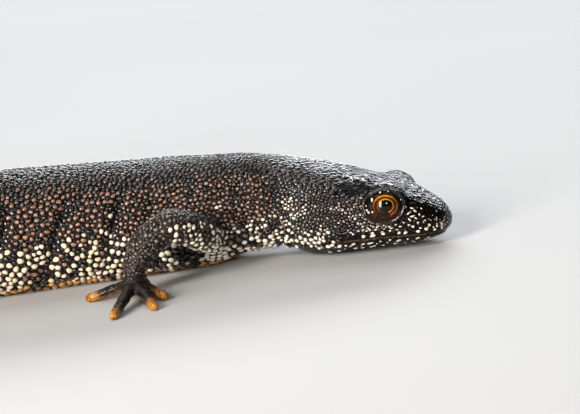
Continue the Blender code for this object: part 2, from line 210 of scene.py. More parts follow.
def spine_places():
    """A place for every step of the spine, from the snout tip back to the tail tip."""
    yaw = heading((np.arange(int(TOTAL_LENGTH / SPINE_STEP)) + 0.5) * SPINE_STEP)
    steps = -SPINE_STEP * np.stack((np.cos(yaw), np.sin(yaw)), axis=1)
    return np.concatenate((np.zeros((1, 2)), np.cumsum(steps, axis=0)))


SPINE = spine_places()
POINTS_AT_ONCE = 20000


def place(along, aside, height):
    """Points at distances back along the spine, to the newt's left of it and above the floor."""
    along, aside, height = np.broadcast_arrays(*(np.asarray(v, dtype=float) for v in (along, aside, height)))
    i = np.clip((along / SPINE_STEP).astype(int), 0, len(SPINE) - 2)
    t = (along / SPINE_STEP - i)[..., None]
    middle = SPINE[i] * (1 - t) + SPINE[i + 1] * t
    yaw = heading(along)
    x = middle[..., 0] - aside * np.sin(yaw)
    y = middle[..., 1] + aside * np.cos(yaw)
    return np.stack((x, y, height), axis=-1)


def body_places(points):
    """Along, aside and height of points near the body."""
    along = np.empty(len(points))
    aside = np.empty(len(points))
    for start in range(0, len(points), POINTS_AT_ONCE):
        part = slice(start, start + POINTS_AT_ONCE)
        flat = points[part, :2]
        gaps = ((flat[:, None, :] - SPINE[None, ::2, :]) ** 2).sum(axis=2)
        s = gaps.argmin(axis=1) * 2 * SPINE_STEP
        for _ in range(3):
            yaw = heading(s)
            off = flat - place(s, 0.0, 0.0)[:, :2]
            s = np.clip(s - off[:, 0] * np.cos(yaw) - off[:, 1] * np.sin(yaw), 0.0, TOTAL_LENGTH)
        yaw = heading(s)
        off = flat - place(s, 0.0, 0.0)[:, :2]
        along[part] = s
        aside[part] = -off[:, 0] * np.sin(yaw) + off[:, 1] * np.cos(yaw)
    return along, aside, points[:, 2]


def section(along, depth=0.0):
    """Half width, back, belly, widest height and both squarenesses of the body, the first two less depth."""
    columns = [through(SECTIONS[:, (0, k)], along) for k in range(1, 7)]
    less = depth * np.minimum(1.0, columns[0] / COAT_FULL_WIDTH)
    columns[0] = columns[0] - less
    columns[1] = columns[1] - less
    return columns


def section_points(along, angle, depth=0.0):
    """Aside and height of the body's outline at an angle from its left side, counted over the back."""
    half_width, back, belly, widest, back_square, belly_square = section(along, depth)
    upper = np.sin(angle) >= 0
    power = 2 / np.where(upper, back_square, belly_square)
    aside = np.copysign(np.abs(np.cos(angle)) ** power, np.cos(angle)) * half_width
    reach = np.where(upper, back - widest, belly - widest)
    height = widest + np.abs(np.sin(angle)) ** power * reach
    return aside, np.maximum(height, 0.0)


def step(low, high, value):
    """0 below low, 1 above high, and smooth between."""
    t = np.clip((value - low) / (high - low), 0.0, 1.0)
    return t * t * (3 - 2 * t)


def bell(value, width):
    return np.exp(-((value / width) ** 2) / 2)


LATTICE_FACTORS = (73856093, 19349663, 83492791)
SEED_FACTOR = 2654435
MIXING_FACTOR = 1274126177
LOW_BITS = 65535


def lattice_value(cells, seed):
    """A fixed random number from 0 to 1 for each cell of a lattice."""
    bits = seed * SEED_FACTOR
    for axis, factor in enumerate(LATTICE_FACTORS):
        bits = bits ^ cells[..., axis] * factor
    bits = (bits ^ (bits >> 13)) * MIXING_FACTOR
    return ((bits ^ (bits >> 16)) & LOW_BITS) / LOW_BITS


def noise(points, seed=0):
    """Smooth random numbers from 0 to 1 over space, with a grain of one unit."""
    low = np.floor(points).astype(np.int64)
    t = points - low
    t = t * t * (3 - 2 * t)
    total = np.zeros(points.shape[:-1])
    for corner in range(8):
        offset = np.array([(corner >> axis) & 1 for axis in range(3)])
        share = np.prod(np.where(offset == 1, t, 1 - t), axis=-1)
        total += share * lattice_value(low + offset, seed)
    return total


def rough_noise(points, seed=0, layers=3):
    """Several layers of noise, each finer and weaker."""
    total = sum(noise(points * 2**k, seed + 17 * k) * 0.5**k for k in range(layers))
    return total / sum(0.5**k for k in range(layers))


def unit(vectors):
    return vectors / np.maximum(np.linalg.norm(vectors, axis=-1, keepdims=True), 1e-12)


# --- Mesh helpers ---


def rows_of(items, field, width, kind=float):
    """A field of a mesh's vertices, edges or triangles, as rows of numbers."""
    flat = np.empty(len(items) * width, dtype=kind)
    items.foreach_get(field, flat)
    return flat.reshape(-1, width)


def mesh_points(mesh):
    return rows_of(mesh.vertices, "co", 3)


def set_points(mesh, points):
    mesh.vertices.foreach_set("co", points.ravel())
    mesh.update()


def mesh_triangles(mesh):
    mesh.calc_loop_triangles()
    return rows_of(mesh.loop_triangles, "vertices", 3, np.int64)


def mesh_edges(mesh):
    return rows_of(mesh.edges, "vertices", 2, np.int64)


def point_normals(points, triangles):
    """A unit normal for each point of a mesh, weighted by area."""
    a, b, c = (points[triangles[:, k]] for k in range(3))
    across = np.cross(b - a, c - a)
    normals = np.zeros_like(points)
    for k in range(3):
        np.add.at(normals, triangles[:, k], across)
    return unit(normals)


def in_order(name, points, faces):
    """A mesh whose faces each start at their lowest corner and come in order, the same in every run."""
    turned = []
    for corners in faces:
        first = corners.index(min(corners))
        turned.append(corners[first:] + corners[:first])
    mesh = bpy.data.meshes.new(name)
    mesh.from_pydata(points, [], sorted(turned))
    return mesh


def finished(name, bm):
    """The bmesh as a mesh with its faces pointing out."""
    bm.normal_update()
    bmesh.ops.recalc_face_normals(bm, faces=bm.faces)
    bm.verts.index_update()
    points = [vert.co[:] for vert in bm.verts]
    faces = [[vert.index for vert in face.verts] for face in bm.faces]
    bm.free()
    return in_order(name, points, faces)


def joined(meshes):
    """One bmesh of several meshes, which are removed."""
    whole = bmesh.new()
    for mesh in meshes:
        whole.from_mesh(mesh)
        bpy.data.meshes.remove(mesh)
    return whole


def shown(name, mesh):
    obj = bpy.data.objects.new(name, mesh)
    bpy.context.scene.collection.objects.link(obj)
    return obj


def applied(obj):
    """The object's mesh with its modifiers applied."""
    bpy.context.view_layer.update()
    graph = bpy.context.evaluated_depsgraph_get()
    mesh = bpy.data.meshes.new_from_object(obj.evaluated_get(graph))
    obj.modifiers.clear()
    return mesh


ORDER_DECIMALS = 5


def cleaned(mesh):
    """The mesh of a union less its corners with only two edges, its points ordered by their places."""
    bm = bmesh.new()
    bm.from_mesh(mesh)
    bmesh.ops.dissolve_verts(bm, verts=[vert for vert in bm.verts if len(vert.link_edges) == 2])
    bm.verts.index_update()
    points = np.array([vert.co for vert in bm.verts])
    order = np.lexsort(np.round(points, ORDER_DECIMALS).T)
    rank = np.argsort(order)
    faces = [[int(rank[vert.index]) for vert in face.verts] for face in bm.faces]
    bm.free()
    return in_order(mesh.name, points[order].tolist(), faces)


def smooth_shaded(mesh):
    mesh.polygons.foreach_set("use_smooth", np.ones(len(mesh.polygons), dtype=bool))
    mesh.update()


def bent_sphere(segments, rings, place_of):
    """A ball whose rings are drawn out: place_of gives the points for (ring, turn), both from 0 to 1."""
    bm = bmesh.new()
    bmesh.ops.create_uvsphere(bm, u_segments=segments, v_segments=rings, radius=1.0)
    ball = np.array([vert.co for vert in bm.verts])
    for vert, point in zip(bm.verts, place_of(*ball_places(ball))):
        vert.co = point
    return bm


def ball_places(ball):
    """Where points of a ball lie from its first pole to its other, and how far round, both from 0 to 1."""
    down = np.arctan2(np.hypot(ball[:, 0], ball[:, 1]), ball[:, 2]) / math.pi
    turn = (np.arctan2(ball[:, 1], ball[:, 0]) / (2 * math.pi)) % 1.0
    return down, turn


def body_shift():
    """What takes a point in millimetres on the body to the frame: both eyes tell where the body is."""
    middles = []
    for word in ("right_eye", "left_eye"):
        low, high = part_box(word)
        middles.append((np.array(low) + np.array(high)) / 2)
    return (middles[0] + middles[1]) / 2 - place(EYE_ALONG, 0.0, EYE_HEIGHT) * MM


def to_frame(points):
    return points * MM + body_shift()


# --- Eyes' own places ---


def eye_axes(side):
    """The middle of an eye, and its directions: forward and up in its own plane, and out of it."""
    yaw = float(heading(EYE_ALONG))
    outward = np.array((-math.sin(yaw), math.cos(yaw), 0.0)) * side
    forward = np.array((math.cos(yaw), math.sin(yaw), 0.0))
    level = outward * math.cos(EYE_FORWARD) + forward * math.sin(EYE_FORWARD)
    look = level * math.cos(EYE_UP) + np.array((0.0, 0.0, math.sin(EYE_UP)))
    ahead = forward * math.cos(EYE_FORWARD) - outward * math.sin(EYE_FORWARD)
    above = np.cross(look, ahead)
    above = above * np.sign(above[2])
    return place(EYE_ALONG, side * EYE_ASIDE, EYE_HEIGHT), ahead, above, look


def eye_plane(points, side):
    """Forward, up and out coordinates of points from the middle of an eye."""
    middle, ahead, above, look = eye_axes(side)
    off = points - middle
    return off @ ahead, off @ above, off @ look


def eye_distance(points, side):
    """How far points are from the middle of an eye."""
    ahead, above, out = eye_plane(points, side)
    return np.sqrt(ahead**2 + above**2 + out**2)


def opening_reach(points, side):
    """How far out points are from the middle of the open eye, whose edge is at 1, and how far in front."""
    ahead, above, out = eye_plane(points, side)
    return np.hypot(ahead / OPENING[0], above / OPENING[1]), out


def nostril_distance(points, side):
    return np.linalg.norm(points - place(NOSTRIL[0], side * NOSTRIL[1], NOSTRIL[2]), axis=1)


def ridge_reach(points, side, wider=(0.0, 0.0)):
    """How far out points are, with the ridge of the lids at 1, and whether they are in front of the eye."""
    ahead, above, out = eye_plane(points, side)
    across = (ahead - RIDGE_MIDDLE[0]) / (RIDGE_AXES[0] + wider[0])
    up = (above - RIDGE_MIDDLE[1]) / (RIDGE_AXES[1] + wider[1])
    return np.hypot(across, up), out > 0


# --- Skin ---

# Where the rings of the skin lie: the end of each length and the space between rings in it.
RING_SPACES = ((17.4, 0.17), (42.0, 0.38), (73.0, 0.55), (138.6, 0.95))
SNOUT_RINGS = 14
SNOUT_DEPTH = 1.0
TAIL_TIP_RINGS = 5
SHARES = 361  # places round the table of outlines
LEAST_GIRTH = 1e-6


def ring_places():
    snout = SNOUT_DEPTH * (np.arange(SNOUT_RINGS) / SNOUT_RINGS) ** 2
    parts = [snout]
    start = SNOUT_DEPTH
    for end, space in RING_SPACES:
        count = round((end - start) / space)
        parts.append(start + (end - start) * np.arange(count) / count)
        start = end
    tip = 1 - (1 - np.arange(TAIL_TIP_RINGS + 1) / TAIL_TIP_RINGS) ** 2
    parts.append(start + (TOTAL_LENGTH - start) * tip)
    return np.concatenate(parts)


def cell_of(share, count):
    """The cell between two of count places that holds each share from 0 to 1, and how far across it."""
    at = share * (count - 1)
    low = np.clip(at.astype(int), 0, count - 2)
    return low, at - low


class BodyOutline:
    """Finds points of the body's surface, evenly spaced round each ring from the middle of the belly."""

    def __init__(self):
        self.rings = ring_places()
        turns = np.linspace(-0.5 * math.pi, -2.5 * math.pi, SHARES)
        even = np.linspace(0.0, 1.0, SHARES)
        rows = []
        for along in self.rings:
            aside, height = section_points(along, turns, COAT_DEPTH)
            lengths = np.concatenate(([0.0], np.cumsum(np.hypot(np.diff(aside), np.diff(height)))))
            if lengths[-1] > LEAST_GIRTH:
                rows.append(np.interp(even, lengths / lengths[-1], turns))
            else:
                rows.append(turns)
        self.angles = np.array(rows)

    def places(self, down, turn):
        """Along, aside and height for shares of the way from snout to tail and round the body."""
        low, t = cell_of(down, len(self.rings))
        left, u = cell_of(turn, SHARES)
        along = self.rings[low] * (1 - t) + self.rings[low + 1] * t
        near = self.angles[low, left] * (1 - u) + self.angles[low, left + 1] * u
        far = self.angles[low + 1, left] * (1 - u) + self.angles[low + 1, left + 1] * u
        aside, height = section_points(along, near * (1 - t) + far * t, COAT_DEPTH)
        return along, aside, height


def finer(bm, wanted):
    """Divides the faces whose corners all are wanted."""
    inside = {face for face in bm.faces if all(wanted[vert.index] for vert in face.verts)}
    edges = [edge for edge in bm.edges if not inside.isdisjoint(edge.link_faces)]
    bmesh.ops.subdivide_edges(bm, edges=edges, cuts=1, use_grid_fill=True)
    bm.verts.index_update()


def finer_places(points, along, height):
    """Which points lie where the skin is made finer: round the eyes, at the nostrils and along the mouth."""
    wanted = np.zeros(len(points), dtype=bool)
    for side in SIDES:
        out = eye_plane(points, side)[2]
        wanted |= (eye_distance(points, side) < 3.0) & (out > 0)
        wanted |= nostril_distance(points, side) < 0.8
    return wanted | ((np.abs(height - through(MOUTH, along)) < 0.55) & (along < MOUTH_CORNER + 1.0))


def finest_places(points):
    """Which points lie by the edge of the lids, where the skin is made finer again."""
    wanted = np.zeros(len(points), dtype=bool)
    for side in SIDES:
        opening, out = opening_reach(points, side)
        wanted |= (opening > 0.75) & (opening < 1.85) & (out > 0) & (eye_distance(points, side) < 2.9)
    return wanted


def body_mesh(outline, around):
    """The body without legs, finer round the eyes, along the mouth and at the nostrils, with its places."""
    bm = bmesh.new()
    bmesh.ops.create_uvsphere(bm, u_segments=around, v_segments=len(outline.rings) - 1, radius=1.0)

    def here():
        ball = np.array([vert.co for vert in bm.verts])
        along, aside, height = outline.places(*ball_places(ball))
        return place(along, aside, height), along, aside, height

    points, along, aside, height = here()
    finer(bm, finer_places(points, along, height))
    finer(bm, finest_places(here()[0]))
    points, along, aside, height = here()
    bmesh.ops.triangulate(bm, faces=[face for face in bm.faces if len(face.verts) > 4])
    for vert, point in zip(bm.verts, points):
        vert.co = point
    return finished("body", bm), along, aside, height


def raise_lids(points, side):
    """Raises the dome of the lids, with a ridge round it and creases between the ridge and the eye."""
    lid = place(EYE_ALONG, side * LID_ASIDE, LID_HEIGHT)
    off = points - lid
    far = np.linalg.norm(off, axis=1)
    near = far < LID_RADIUS + 1.5
    raised = LID_BLEND * np.logaddexp(far / LID_BLEND, LID_RADIUS / LID_BLEND)
    points[near] = lid + unit(off[near]) * raised[near, None]

    ahead, above, out = eye_plane(points, side)
    ridge, front = ridge_reach(points, side)
    off_ridge = (ridge - 1) * sum(RIDGE_AXES) / 2
    rise = 0.19 * bell(off_ridge, 0.085) - 0.12 * bell(off_ridge - 0.25, 0.11)
    rise = rise - 0.07 * bell(off_ridge + 0.22, 0.10)
    round_eye = np.arctan2(above, ahead)
    wave = off_ridge * 2 * math.pi / CREASE_SPACE + 2.0 * np.sin(round_eye * 5) + round_eye * 2
    creases = 0.5 + 0.5 * np.sin(wave)
    rise -= 0.035 * creases * step(0.06, 0.14, -off_ridge) * (1 - step(0.5, 0.62, -off_ridge))
    near = front & (np.abs(off_ridge) < 0.9)
    points[near] += unit(points[near] - lid) * rise[near, None]


def open_lids(points, side):
    """Draws the skin to the edge of the lids, round the eyeball, and hides what is inside it."""
    middle, ahead_axis, above_axis, look = eye_axes(side)
    ahead, above, out = eye_plane(points, side)
    off = points - middle
    far = np.linalg.norm(off, axis=1)
    opening = np.hypot(ahead / OPENING[0], above / OPENING[1])
    near = (out > 0) & (opening < 1.6) & (far < 2.6)
    snapped = 1 + np.sign(opening - 1) * np.maximum(np.abs(opening - 1) - LID_SNAP, 0.0)
    pull = 1 - step(0.08, 0.3, np.abs(opening - 1))
    moved = opening + (snapped - opening) * pull
    ratio = (moved / np.maximum(opening, 1e-6))[:, None]
    direction = unit(off + (ratio - 1) * (ahead[:, None] * ahead_axis + above[:, None] * above_axis))
    lip = LID_EDGE_RADIUS + (LID_LIP_RADIUS - LID_EDGE_RADIUS) * step(0.0, 0.07, moved - 1)
    reach = np.where(moved < 0.995, BEHIND_EYE_RADIUS, lip)
    keep = step(1.08, 1.5, moved)
    target = middle + direction * (reach * (1 - keep) + far * keep)[:, None]
    points[near] = target[near]


def mouth_rise(along, height):
    """The line of the mouth, the two lips and a faint furrow over the upper one."""
    over_mouth = height - through(MOUTH, along)
    fade = 1 - step(MOUTH_CORNER - 0.3, MOUTH_CORNER + 0.9, along)
    rise = -0.17 * bell(over_mouth, 0.085) * fade
    rise += (0.06 * bell(over_mouth - 0.33, 0.17) + 0.05 * bell(over_mouth + 0.3, 0.16)) * fade
    return rise - 0.05 * bell(over_mouth - 0.85, 0.14) * fade * step(2.0, 5.0, along)


def wrinkled(rise, normals, along, arc, height):
    """The rise with wrinkles that run along the crown, crossed by weaker ones."""
    grain = np.stack((along / 2.6, arc / 1.5, height / 2.5), axis=1)
    wave = rough_noise(grain, 3, 2) - 0.5
    crown = step(0.35, 0.7, normals[:, 2]) * (1 - step(18.0, 24.0, along)) * step(0.3, 1.5, along)
    patchy = 0.45 + 0.9 * step(0.35, 0.6, rough_noise(grain * (1.3, 1.0, 0.6), 9, 2))
    furrow = (1 - np.abs(np.sin(math.pi * (arc / 0.62 + 2.6 * wave)))) ** 2
    cross = (1 - np.abs(np.sin(math.pi * (along / 1.15 + 2.2 * wave + arc / 2.1)))) ** 4
    return rise + crown * (0.10 - 0.06 * patchy * furrow) - 0.03 * crown * cross


def shape_head(points, triangles, along, aside, height):
    """Mouth, lips, nostrils, folds and wrinkles of the head and neck."""
    normals = point_normals(points, triangles)
    arc = np.arctan2(aside, height - 3.0) * 5.5
    rise = wrinkled(mouth_rise(along, height), normals, along, arc, height)

    face = (1 - step(0.3, 0.6, normals[:, 2])) * (along < 24.0) * step(0.5, 1.5, height)
    face = face * step(2.5, 4.5, along)
    fine = rough_noise(np.stack((along / 0.9, arc / 0.7, height / 0.7), axis=1), 5, 2) - 0.5
    rise += 0.10 * face * fine
    for side in SIDES:
        far = nostril_distance(points, side)
        rise += -0.40 * bell(far, 0.15) + 0.07 * bell(far - 0.34, 0.1)

    low = 1 - step(3.8, 5.2, height)
    throat_fold = along - (17.1 + 0.25 * np.sin(height * 1.3))
    rise += low * (-0.35 * bell(throat_fold, 0.22) + 0.16 * bell(throat_fold + 0.6, 0.3))
    for side in SIDES:
        ridge, front = ridge_reach(points, side, (0.25, 0.2))
        rise *= np.where(front, step(0.95, 1.12, ridge), 1.0)
    return points + normals * rise[:, None]


RIB_SPACE = 5.8
FIRST_RIB = 3.0
TAIL_RING_SPACE = 2.4


def rib_groove(points, along, height, wide):
    """1 along the middle of each groove between two ribs."""
    lean = along + 0.35 * (height - 5.0) + 1.4 * (rough_noise(points / 3.0, 21, 2) - 0.5)
    behind_arm = step(27.5, 30.0, along) * (1 - step(61.0, 64.0, along))
    off = (lean - FIRST_RIB) % RIB_SPACE - RIB_SPACE / 2
    return bell(off, wide) * behind_arm * step(0.8, 2.5, height) * (1 - step(8.5, 10.0, height))


def tail_ring(along, height):
    """How far a place on the tail is from the nearest of its faint rings."""
    return (along + 0.3 * np.abs(height - 3.6) - TAIL_RING_SPACE / 2) % TAIL_RING_SPACE - TAIL_RING_SPACE / 2


def shape_trunk(points, triangles, along, aside, height):
    """Grooves between the ribs, faint rings round the tail, a groove down the back, and loose skin."""
    normals = point_normals(points, triangles)
    rise = -0.52 * rib_groove(points, along, height, 0.38)
    tail = step(72.0, 78.0, along) * (1 - step(128.0, 136.0, along))
    rise -= 0.07 * bell(tail_ring(along, height), 0.2) * tail
    on_top = step(0.8, 0.95, normals[:, 2])
    rise -= 0.10 * bell(aside, 0.45) * on_top * (1 - step(70.0, 76.0, along)) * step(17.0, 22.0, along)
    loose = rough_noise(np.stack((along / 1.7, aside / 1.2, height / 1.2), axis=1), 33, 2) - 0.5
    rise += 0.16 * loose * step(18.0, 24.0, along) * (1 - step(120.0, 132.0, along))
    return points + normals * rise[:, None]


def line_frame(line):
    """Directions along, across and over a line of points, for a tube round it."""
    tangent = unit(np.gradient(line, axis=0))
    across = unit(np.cross(tangent, np.array((0.0, 0.0, 1.0))))
    return tangent, across, np.cross(across, tangent)


def tube(line, radii, segments, rings):
    """A round-ended tapering tube along a line."""
    tangent, across, over = line_frame(line)
    lengths = np.concatenate(([0.0], np.cumsum(np.linalg.norm(np.diff(line, axis=0), axis=1))))
    total = lengths[-1]
    reach = total + radii[0] + radii[-1]

    def place_of(down, turn):
        run = down * reach - radii[0]
        at = np.clip(run, 0.0, total)
        beyond = run - at
        end_radius = np.where(beyond < 0, radii[0], radii[-1])
        radius = np.interp(at, lengths, radii) * np.sqrt(np.maximum(1 - (beyond / end_radius) ** 2, 0.0))
        middle, ahead, side, top = (
            np.stack([np.interp(at, lengths, each[:, axis]) for axis in range(3)], axis=1)
            for each in (line, tangent, across, over)
        )
        angle = 2 * math.pi * turn
        ring = np.cos(angle)[:, None] * side + np.sin(angle)[:, None] * top
        return middle + beyond[:, None] * ahead + radius[:, None] * ring

    return bent_sphere(segments, rings, place_of)


def leg_line(places, radii, count=40):
    t = np.linspace(0.0, len(places) - 1, count)
    columns = [through([(i, row[axis]) for i, row in enumerate(places)], t) for axis in range(3)]
    return place(*columns), through(list(enumerate(radii)), t) - COAT_DEPTH


def knuckles(share, joints, plain=0.0):
    """How wide a limb is with its joints, each given as (share of the way down, how much wider, how long)."""
    return sum((wider * bell(share - at, width) for at, wider, width in joints), plain)


def digit_line(palm, tip, count=24):
    """A digit from the middle of the palm to its tip: slim between joints, with a rounded pad at the end."""
    end = place(*tip, DIGIT_TIP_HEIGHT)
    share = np.linspace(0.0, 1.0, count)
    line = palm + (end - palm) * share[:, None]
    line[:, 2] += DIGIT_ARCH * np.sin(math.pi * share) * (1 - share)
    radii = DIGIT_RADII[0] + (DIGIT_RADII[1] - DIGIT_RADII[0]) * share + 0.03
    return line, radii + knuckles(share, ((0.52, 0.07, 0.05), (0.76, 0.06, 0.045), (0.96, 0.05, 0.05)))


def palm_mesh(middle, into, palm_radii):
    """The pad of a hand or foot, turned the way that the limb points."""
    bm = bmesh.new()
    bmesh.ops.create_uvsphere(bm, u_segments=32, v_segments=20, radius=1.0)
    bmesh.ops.scale(bm, vec=Vector(palm_radii) - Vector((PALM_INSET,) * 3), verts=bm.verts)
    turn = Matrix.Rotation(math.atan2(into[1], into[0]), 4, "Z")
    bmesh.ops.transform(bm, matrix=Matrix.Translation(Vector(middle)) @ turn, verts=bm.verts)
    return bm


def leg_mesh(leg):
    """A leg's limb, wrist or ankle, palm and digits as tubes that cross each other."""
    places, radii, palm, palm_radii, tips = leg
    line, widths = leg_line(places, radii)
    share = np.linspace(0.0, 1.0, len(widths))
    widths = widths * knuckles(share, ((0.5, 0.07, 0.06), (0.62, -0.05, 0.05), (0.78, 0.05, 0.08)), 1.0)
    middle = place(*palm)
    into = middle - line[-1]
    wrist = line[-1] + into * np.linspace(0.0, 1.0, WRIST_STEPS)[:, None]
    parts = [tube(line, widths, 28, 60)]
    parts.append(tube(wrist, np.linspace(widths[-1], WRIST_RADIUS, WRIST_STEPS), 24, 20))
    parts.append(palm_mesh(middle, into, palm_radii))
    parts += [tube(*digit_line(middle, tip), 16, 40) for tip in tips]
    return finished("leg", joined([finished("part", part) for part in parts]))


def leg_object(leg, index, grain):
    """One leg as a closed mesh, its parts melted into one and smoothed."""
    obj = shown(f"leg_{index}", leg_mesh(leg))
    remesh = obj.modifiers.new("one_shell", "REMESH")
    remesh.mode = "VOXEL"
    remesh.voxel_size = grain
    ease = obj.modifiers.new("ease", "SMOOTH")
    ease.factor = 0.5
    ease.iterations = 6
    obj.data = applied(obj)
    return obj


def neighbours_mean(points, edges):
    """The mean place of each point's neighbours."""
    total = np.zeros_like(points)
    count = np.zeros(len(points))
    for a, b in ((0, 1), (1, 0)):
        np.add.at(total, edges[:, a], points[edges[:, b]])
        np.add.at(count, edges[:, a], 1)
    return total / np.maximum(count, 1)[:, None]


GAPS_AT_ONCE = 2000
LEG_REACH = 14.0  # no point of a limb or digit is farther from its middle


def nearest_gap(points, others):
    """How far each point near the others is from the nearest of them, and FAR for the rest."""
    gaps = np.full(len(points), FAR)
    low, high = others.min(axis=0) - 3.0, others.max(axis=0) + 3.0
    near = np.flatnonzero(((points > low) & (points < high)).all(axis=1))
    for start in range(0, len(near), GAPS_AT_ONCE):
        part = near[start : start + GAPS_AT_ONCE]
        apart = ((points[part][:, None, :] - others[None, :, :]) ** 2).sum(axis=2)
        gaps[part] = np.sqrt(apart.min(axis=1))
    return gaps


def leg_lines(leg):
    """The middle lines of a leg's limb and digits, each with how far down the leg it runs and its radii."""
    places, radii, palm, palm_radii, tips = leg
    line, widths = leg_line(places, radii, 30)
    yield line, np.linspace(0.0, LIMB_END, len(line)), widths
    for tip in tips:
        digit, thin = digit_line(place(*palm), tip, 16)
        yield digit, np.linspace(DIGITS_START, 1.0, len(digit)), thin


def leg_gaps(points):
    """For each point, the nearest leg, how far down it, and the gaps to its surface and to a digit's tip."""
    best = np.full(len(points), FAR)
    which = np.zeros(len(points), dtype=int)
    share = np.zeros(len(points))
    tip_gap = np.full(len(points), FAR)
    for index, leg in enumerate(LEGS):
        for line, shares, widths in leg_lines(leg):
            if shares[0] == DIGITS_START:
                tip_gap = np.minimum(tip_gap, np.linalg.norm(points - line[-1], axis=1))
            near = np.flatnonzero(np.linalg.norm(points - line.mean(axis=0), axis=1) < LEG_REACH)
            apart = np.linalg.norm(points[near][:, None, :] - line[None, :, :], axis=2) - widths[None, :]
            nearest = apart.argmin(axis=1)
            closest = apart[np.arange(len(near)), nearest]
            better = closest < best[near]
            chosen = near[better]
            best[chosen] = closest[better]
            which[chosen] = index + 1
            share[chosen] = shares[nearest[better]]
    return which, share, best, tip_gap


class SkinMap:
    """What the markings and warts need to know at each point of the skin."""

    def __init__(self, points, normals):
        self.points = points
        self.normals = normals
        self.along, self.aside, self.height = body_places(points)
        half_width, back, belly, widest, _, _ = section(self.along)
        which, self.leg_share, gap, self.tip_gap = leg_gaps(points)
        off_body = np.abs(self.aside) - half_width
        self.leg = np.where((gap < 1.3) & (off_body > 0.3), which, 0)
        angle = np.arctan2(-self.aside / half_width.clip(0.2), (widest - self.height) / 4.0)
        self.turn = (angle / (2 * math.pi)) % 1.0
        self.rise = np.clip(self.height / back.clip(0.5), 0.0, 1.0)


BACK_BROWN = np.array((0.0050, 0.0034, 0.0028))
FLANK_BROWN = np.array((0.0120, 0.0050, 0.0030))
LEG_GREY = np.array((0.023, 0.0170, 0.0148))
DARK = np.array((0.0036, 0.0023, 0.0019))
BELLY_ORANGE = np.array((0.75, 0.20, 0.02))
# Painted highlight along the wet ridge round the lids:
RIDGE_HIGHLIGHT_GREY = np.array((0.30, 0.29, 0.29))
LID_BROWN = np.array((0.034, 0.016, 0.008))
LIP_BROWN = np.array((0.13, 0.075, 0.045))
DIGIT_YELLOW = np.array((0.46, 0.19, 0.03))
FRECKLE = np.array((0.50, 0.30, 0.12))
# Painted highlight of the wet rim round the lids:
RIM_HIGHLIGHT_GREY = np.array((0.42, 0.40, 0.38))
LID_EDGE = 0.97  # how far out towards their ridge the lids are smooth


def mixed(first, second, share):
    return first + (second - first) * np.asarray(share)[..., None]


def trunk_ground(here, cloud, blotch):
    """Brown flanks, a darker back, painted shade in the grooves between the ribs, and an orange, blotched
    belly and tail edge.
    """
    places = here.points
    colour = mixed(BACK_BROWN, FLANK_BROWN, step(0.35, 0.65, cloud) * (1 - step(0.55, 0.8, here.rise)))
    colour = mixed(colour, DARK, 0.7 * step(0.45, 0.7, rough_noise(places / 0.9, 43, 2)))
    colour = mixed(colour, DARK, 0.45 * (1 - step(15.0, 19.0, here.along)))
    # Painted shade in the grooves between the ribs.
    colour = mixed(colour, DARK * 0.5, 0.5 * rib_groove(places, here.along, here.height, 0.4))
    trunk = step(18.0, 21.0, here.along) * (1 - step(71.0, 74.0, here.along))
    under = (1 - step(0.035, 0.075, here.rise)) * trunk * (1 - step(-0.2, 0.35, here.normals[:, 2]))
    colour = mixed(colour, mixed(BELLY_ORANGE, DARK, blotch), under)
    edge = (1 - step(0.10, 0.16 + 0.05 * cloud, here.rise)) * step(72.0, 76.0, here.along)
    return mixed(colour, mixed(BELLY_ORANGE, DARK, 0.6 * blotch), 0.85 * edge)


def face_marks(colour, here):
    """The line of the lips, freckles on the throat, nostrils darkened as painted shade, a painted highlight
    along the ridge of the lids, and brown lower lids.
    """
    over_mouth = here.height - through(MOUTH, here.along)
    lip_line = bell(over_mouth - 0.04, 0.06) * (1 - step(MOUTH_CORNER - 0.5, MOUTH_CORNER + 0.3, here.along))
    colour = mixed(colour, LIP_BROWN, 0.8 * lip_line)
    throat = (1 - step(16.0, 17.5, here.along)) * (1 - step(0.1, 0.4, here.height))
    freckle = step(0.60, 0.66, rough_noise(here.points / 0.75, 53, 2))
    colour = mixed(colour, mixed(DARK, FRECKLE, freckle), 0.8 * throat)
    for side in SIDES:
        # Painted shade in the hollow of each nostril.
        colour = mixed(colour, DARK * 0.3, 1 - step(0.12, 0.22, nostril_distance(here.points, side)))
        # A thin painted highlight along the ridge round the lids.
        ridge, front = ridge_reach(here.points, side)
        colour = mixed(colour, RIDGE_HIGHLIGHT_GREY, 0.12 * bell((ridge - 1) * sum(RIDGE_AXES) / 2, 0.06) * front)
        lower = ((ridge < LID_EDGE) & front) * (1 - step(-0.9, -0.2, eye_plane(here.points, side)[1]))
        colour = mixed(colour, LID_BROWN, 0.8 * lower)
    return colour


def ground_colours(here):
    """The colour of the skin between the warts."""
    cloud = rough_noise(here.points / 1.9, 41, 3)
    blotch = step(0.46, 0.5, rough_noise(here.points / 1.7, 47, 3))
    colour = face_marks(trunk_ground(here, cloud, blotch), here)
    leg = here.leg > 0
    grey = mixed(LEG_GREY, DARK, 0.6 * step(0.42, 0.62, rough_noise(here.points / 0.8, 59, 2)))
    colour = np.where(leg[:, None], grey, colour)
    tip = leg * (1 - step(0.4, 1.6, here.tip_gap + 0.8 * cloud - 0.4)) * step(0.6, 0.7, here.leg_share)
    colour = mixed(colour, DIGIT_YELLOW, tip)
    palm = leg * step(0.55, 0.62, here.leg_share) * (1 - step(-0.6, -0.2, here.normals[:, 2]))
    return np.clip(mixed(colour, DIGIT_YELLOW * 0.7, 0.7 * palm), 0.0, 1.0)


def streaks(here):
    """Rough numbers from 0 to 1 in streaks that run along the face."""
    return rough_noise(np.stack((here.along / 1.6, here.height / 0.7, here.aside / 2.0), axis=1), 71, 2)


def crownness(at):
    """1 on top of the head and 0 on its sides."""
    return step(0.42, 0.72, at.normals[:, 2]) * (1 - step(15.0, 20.0, at.along))


def off_crown(at):
    """1 off the top of the head and 0 on it, with a short way between."""
    return 1 - step(0.1, 0.5, crownness(at))


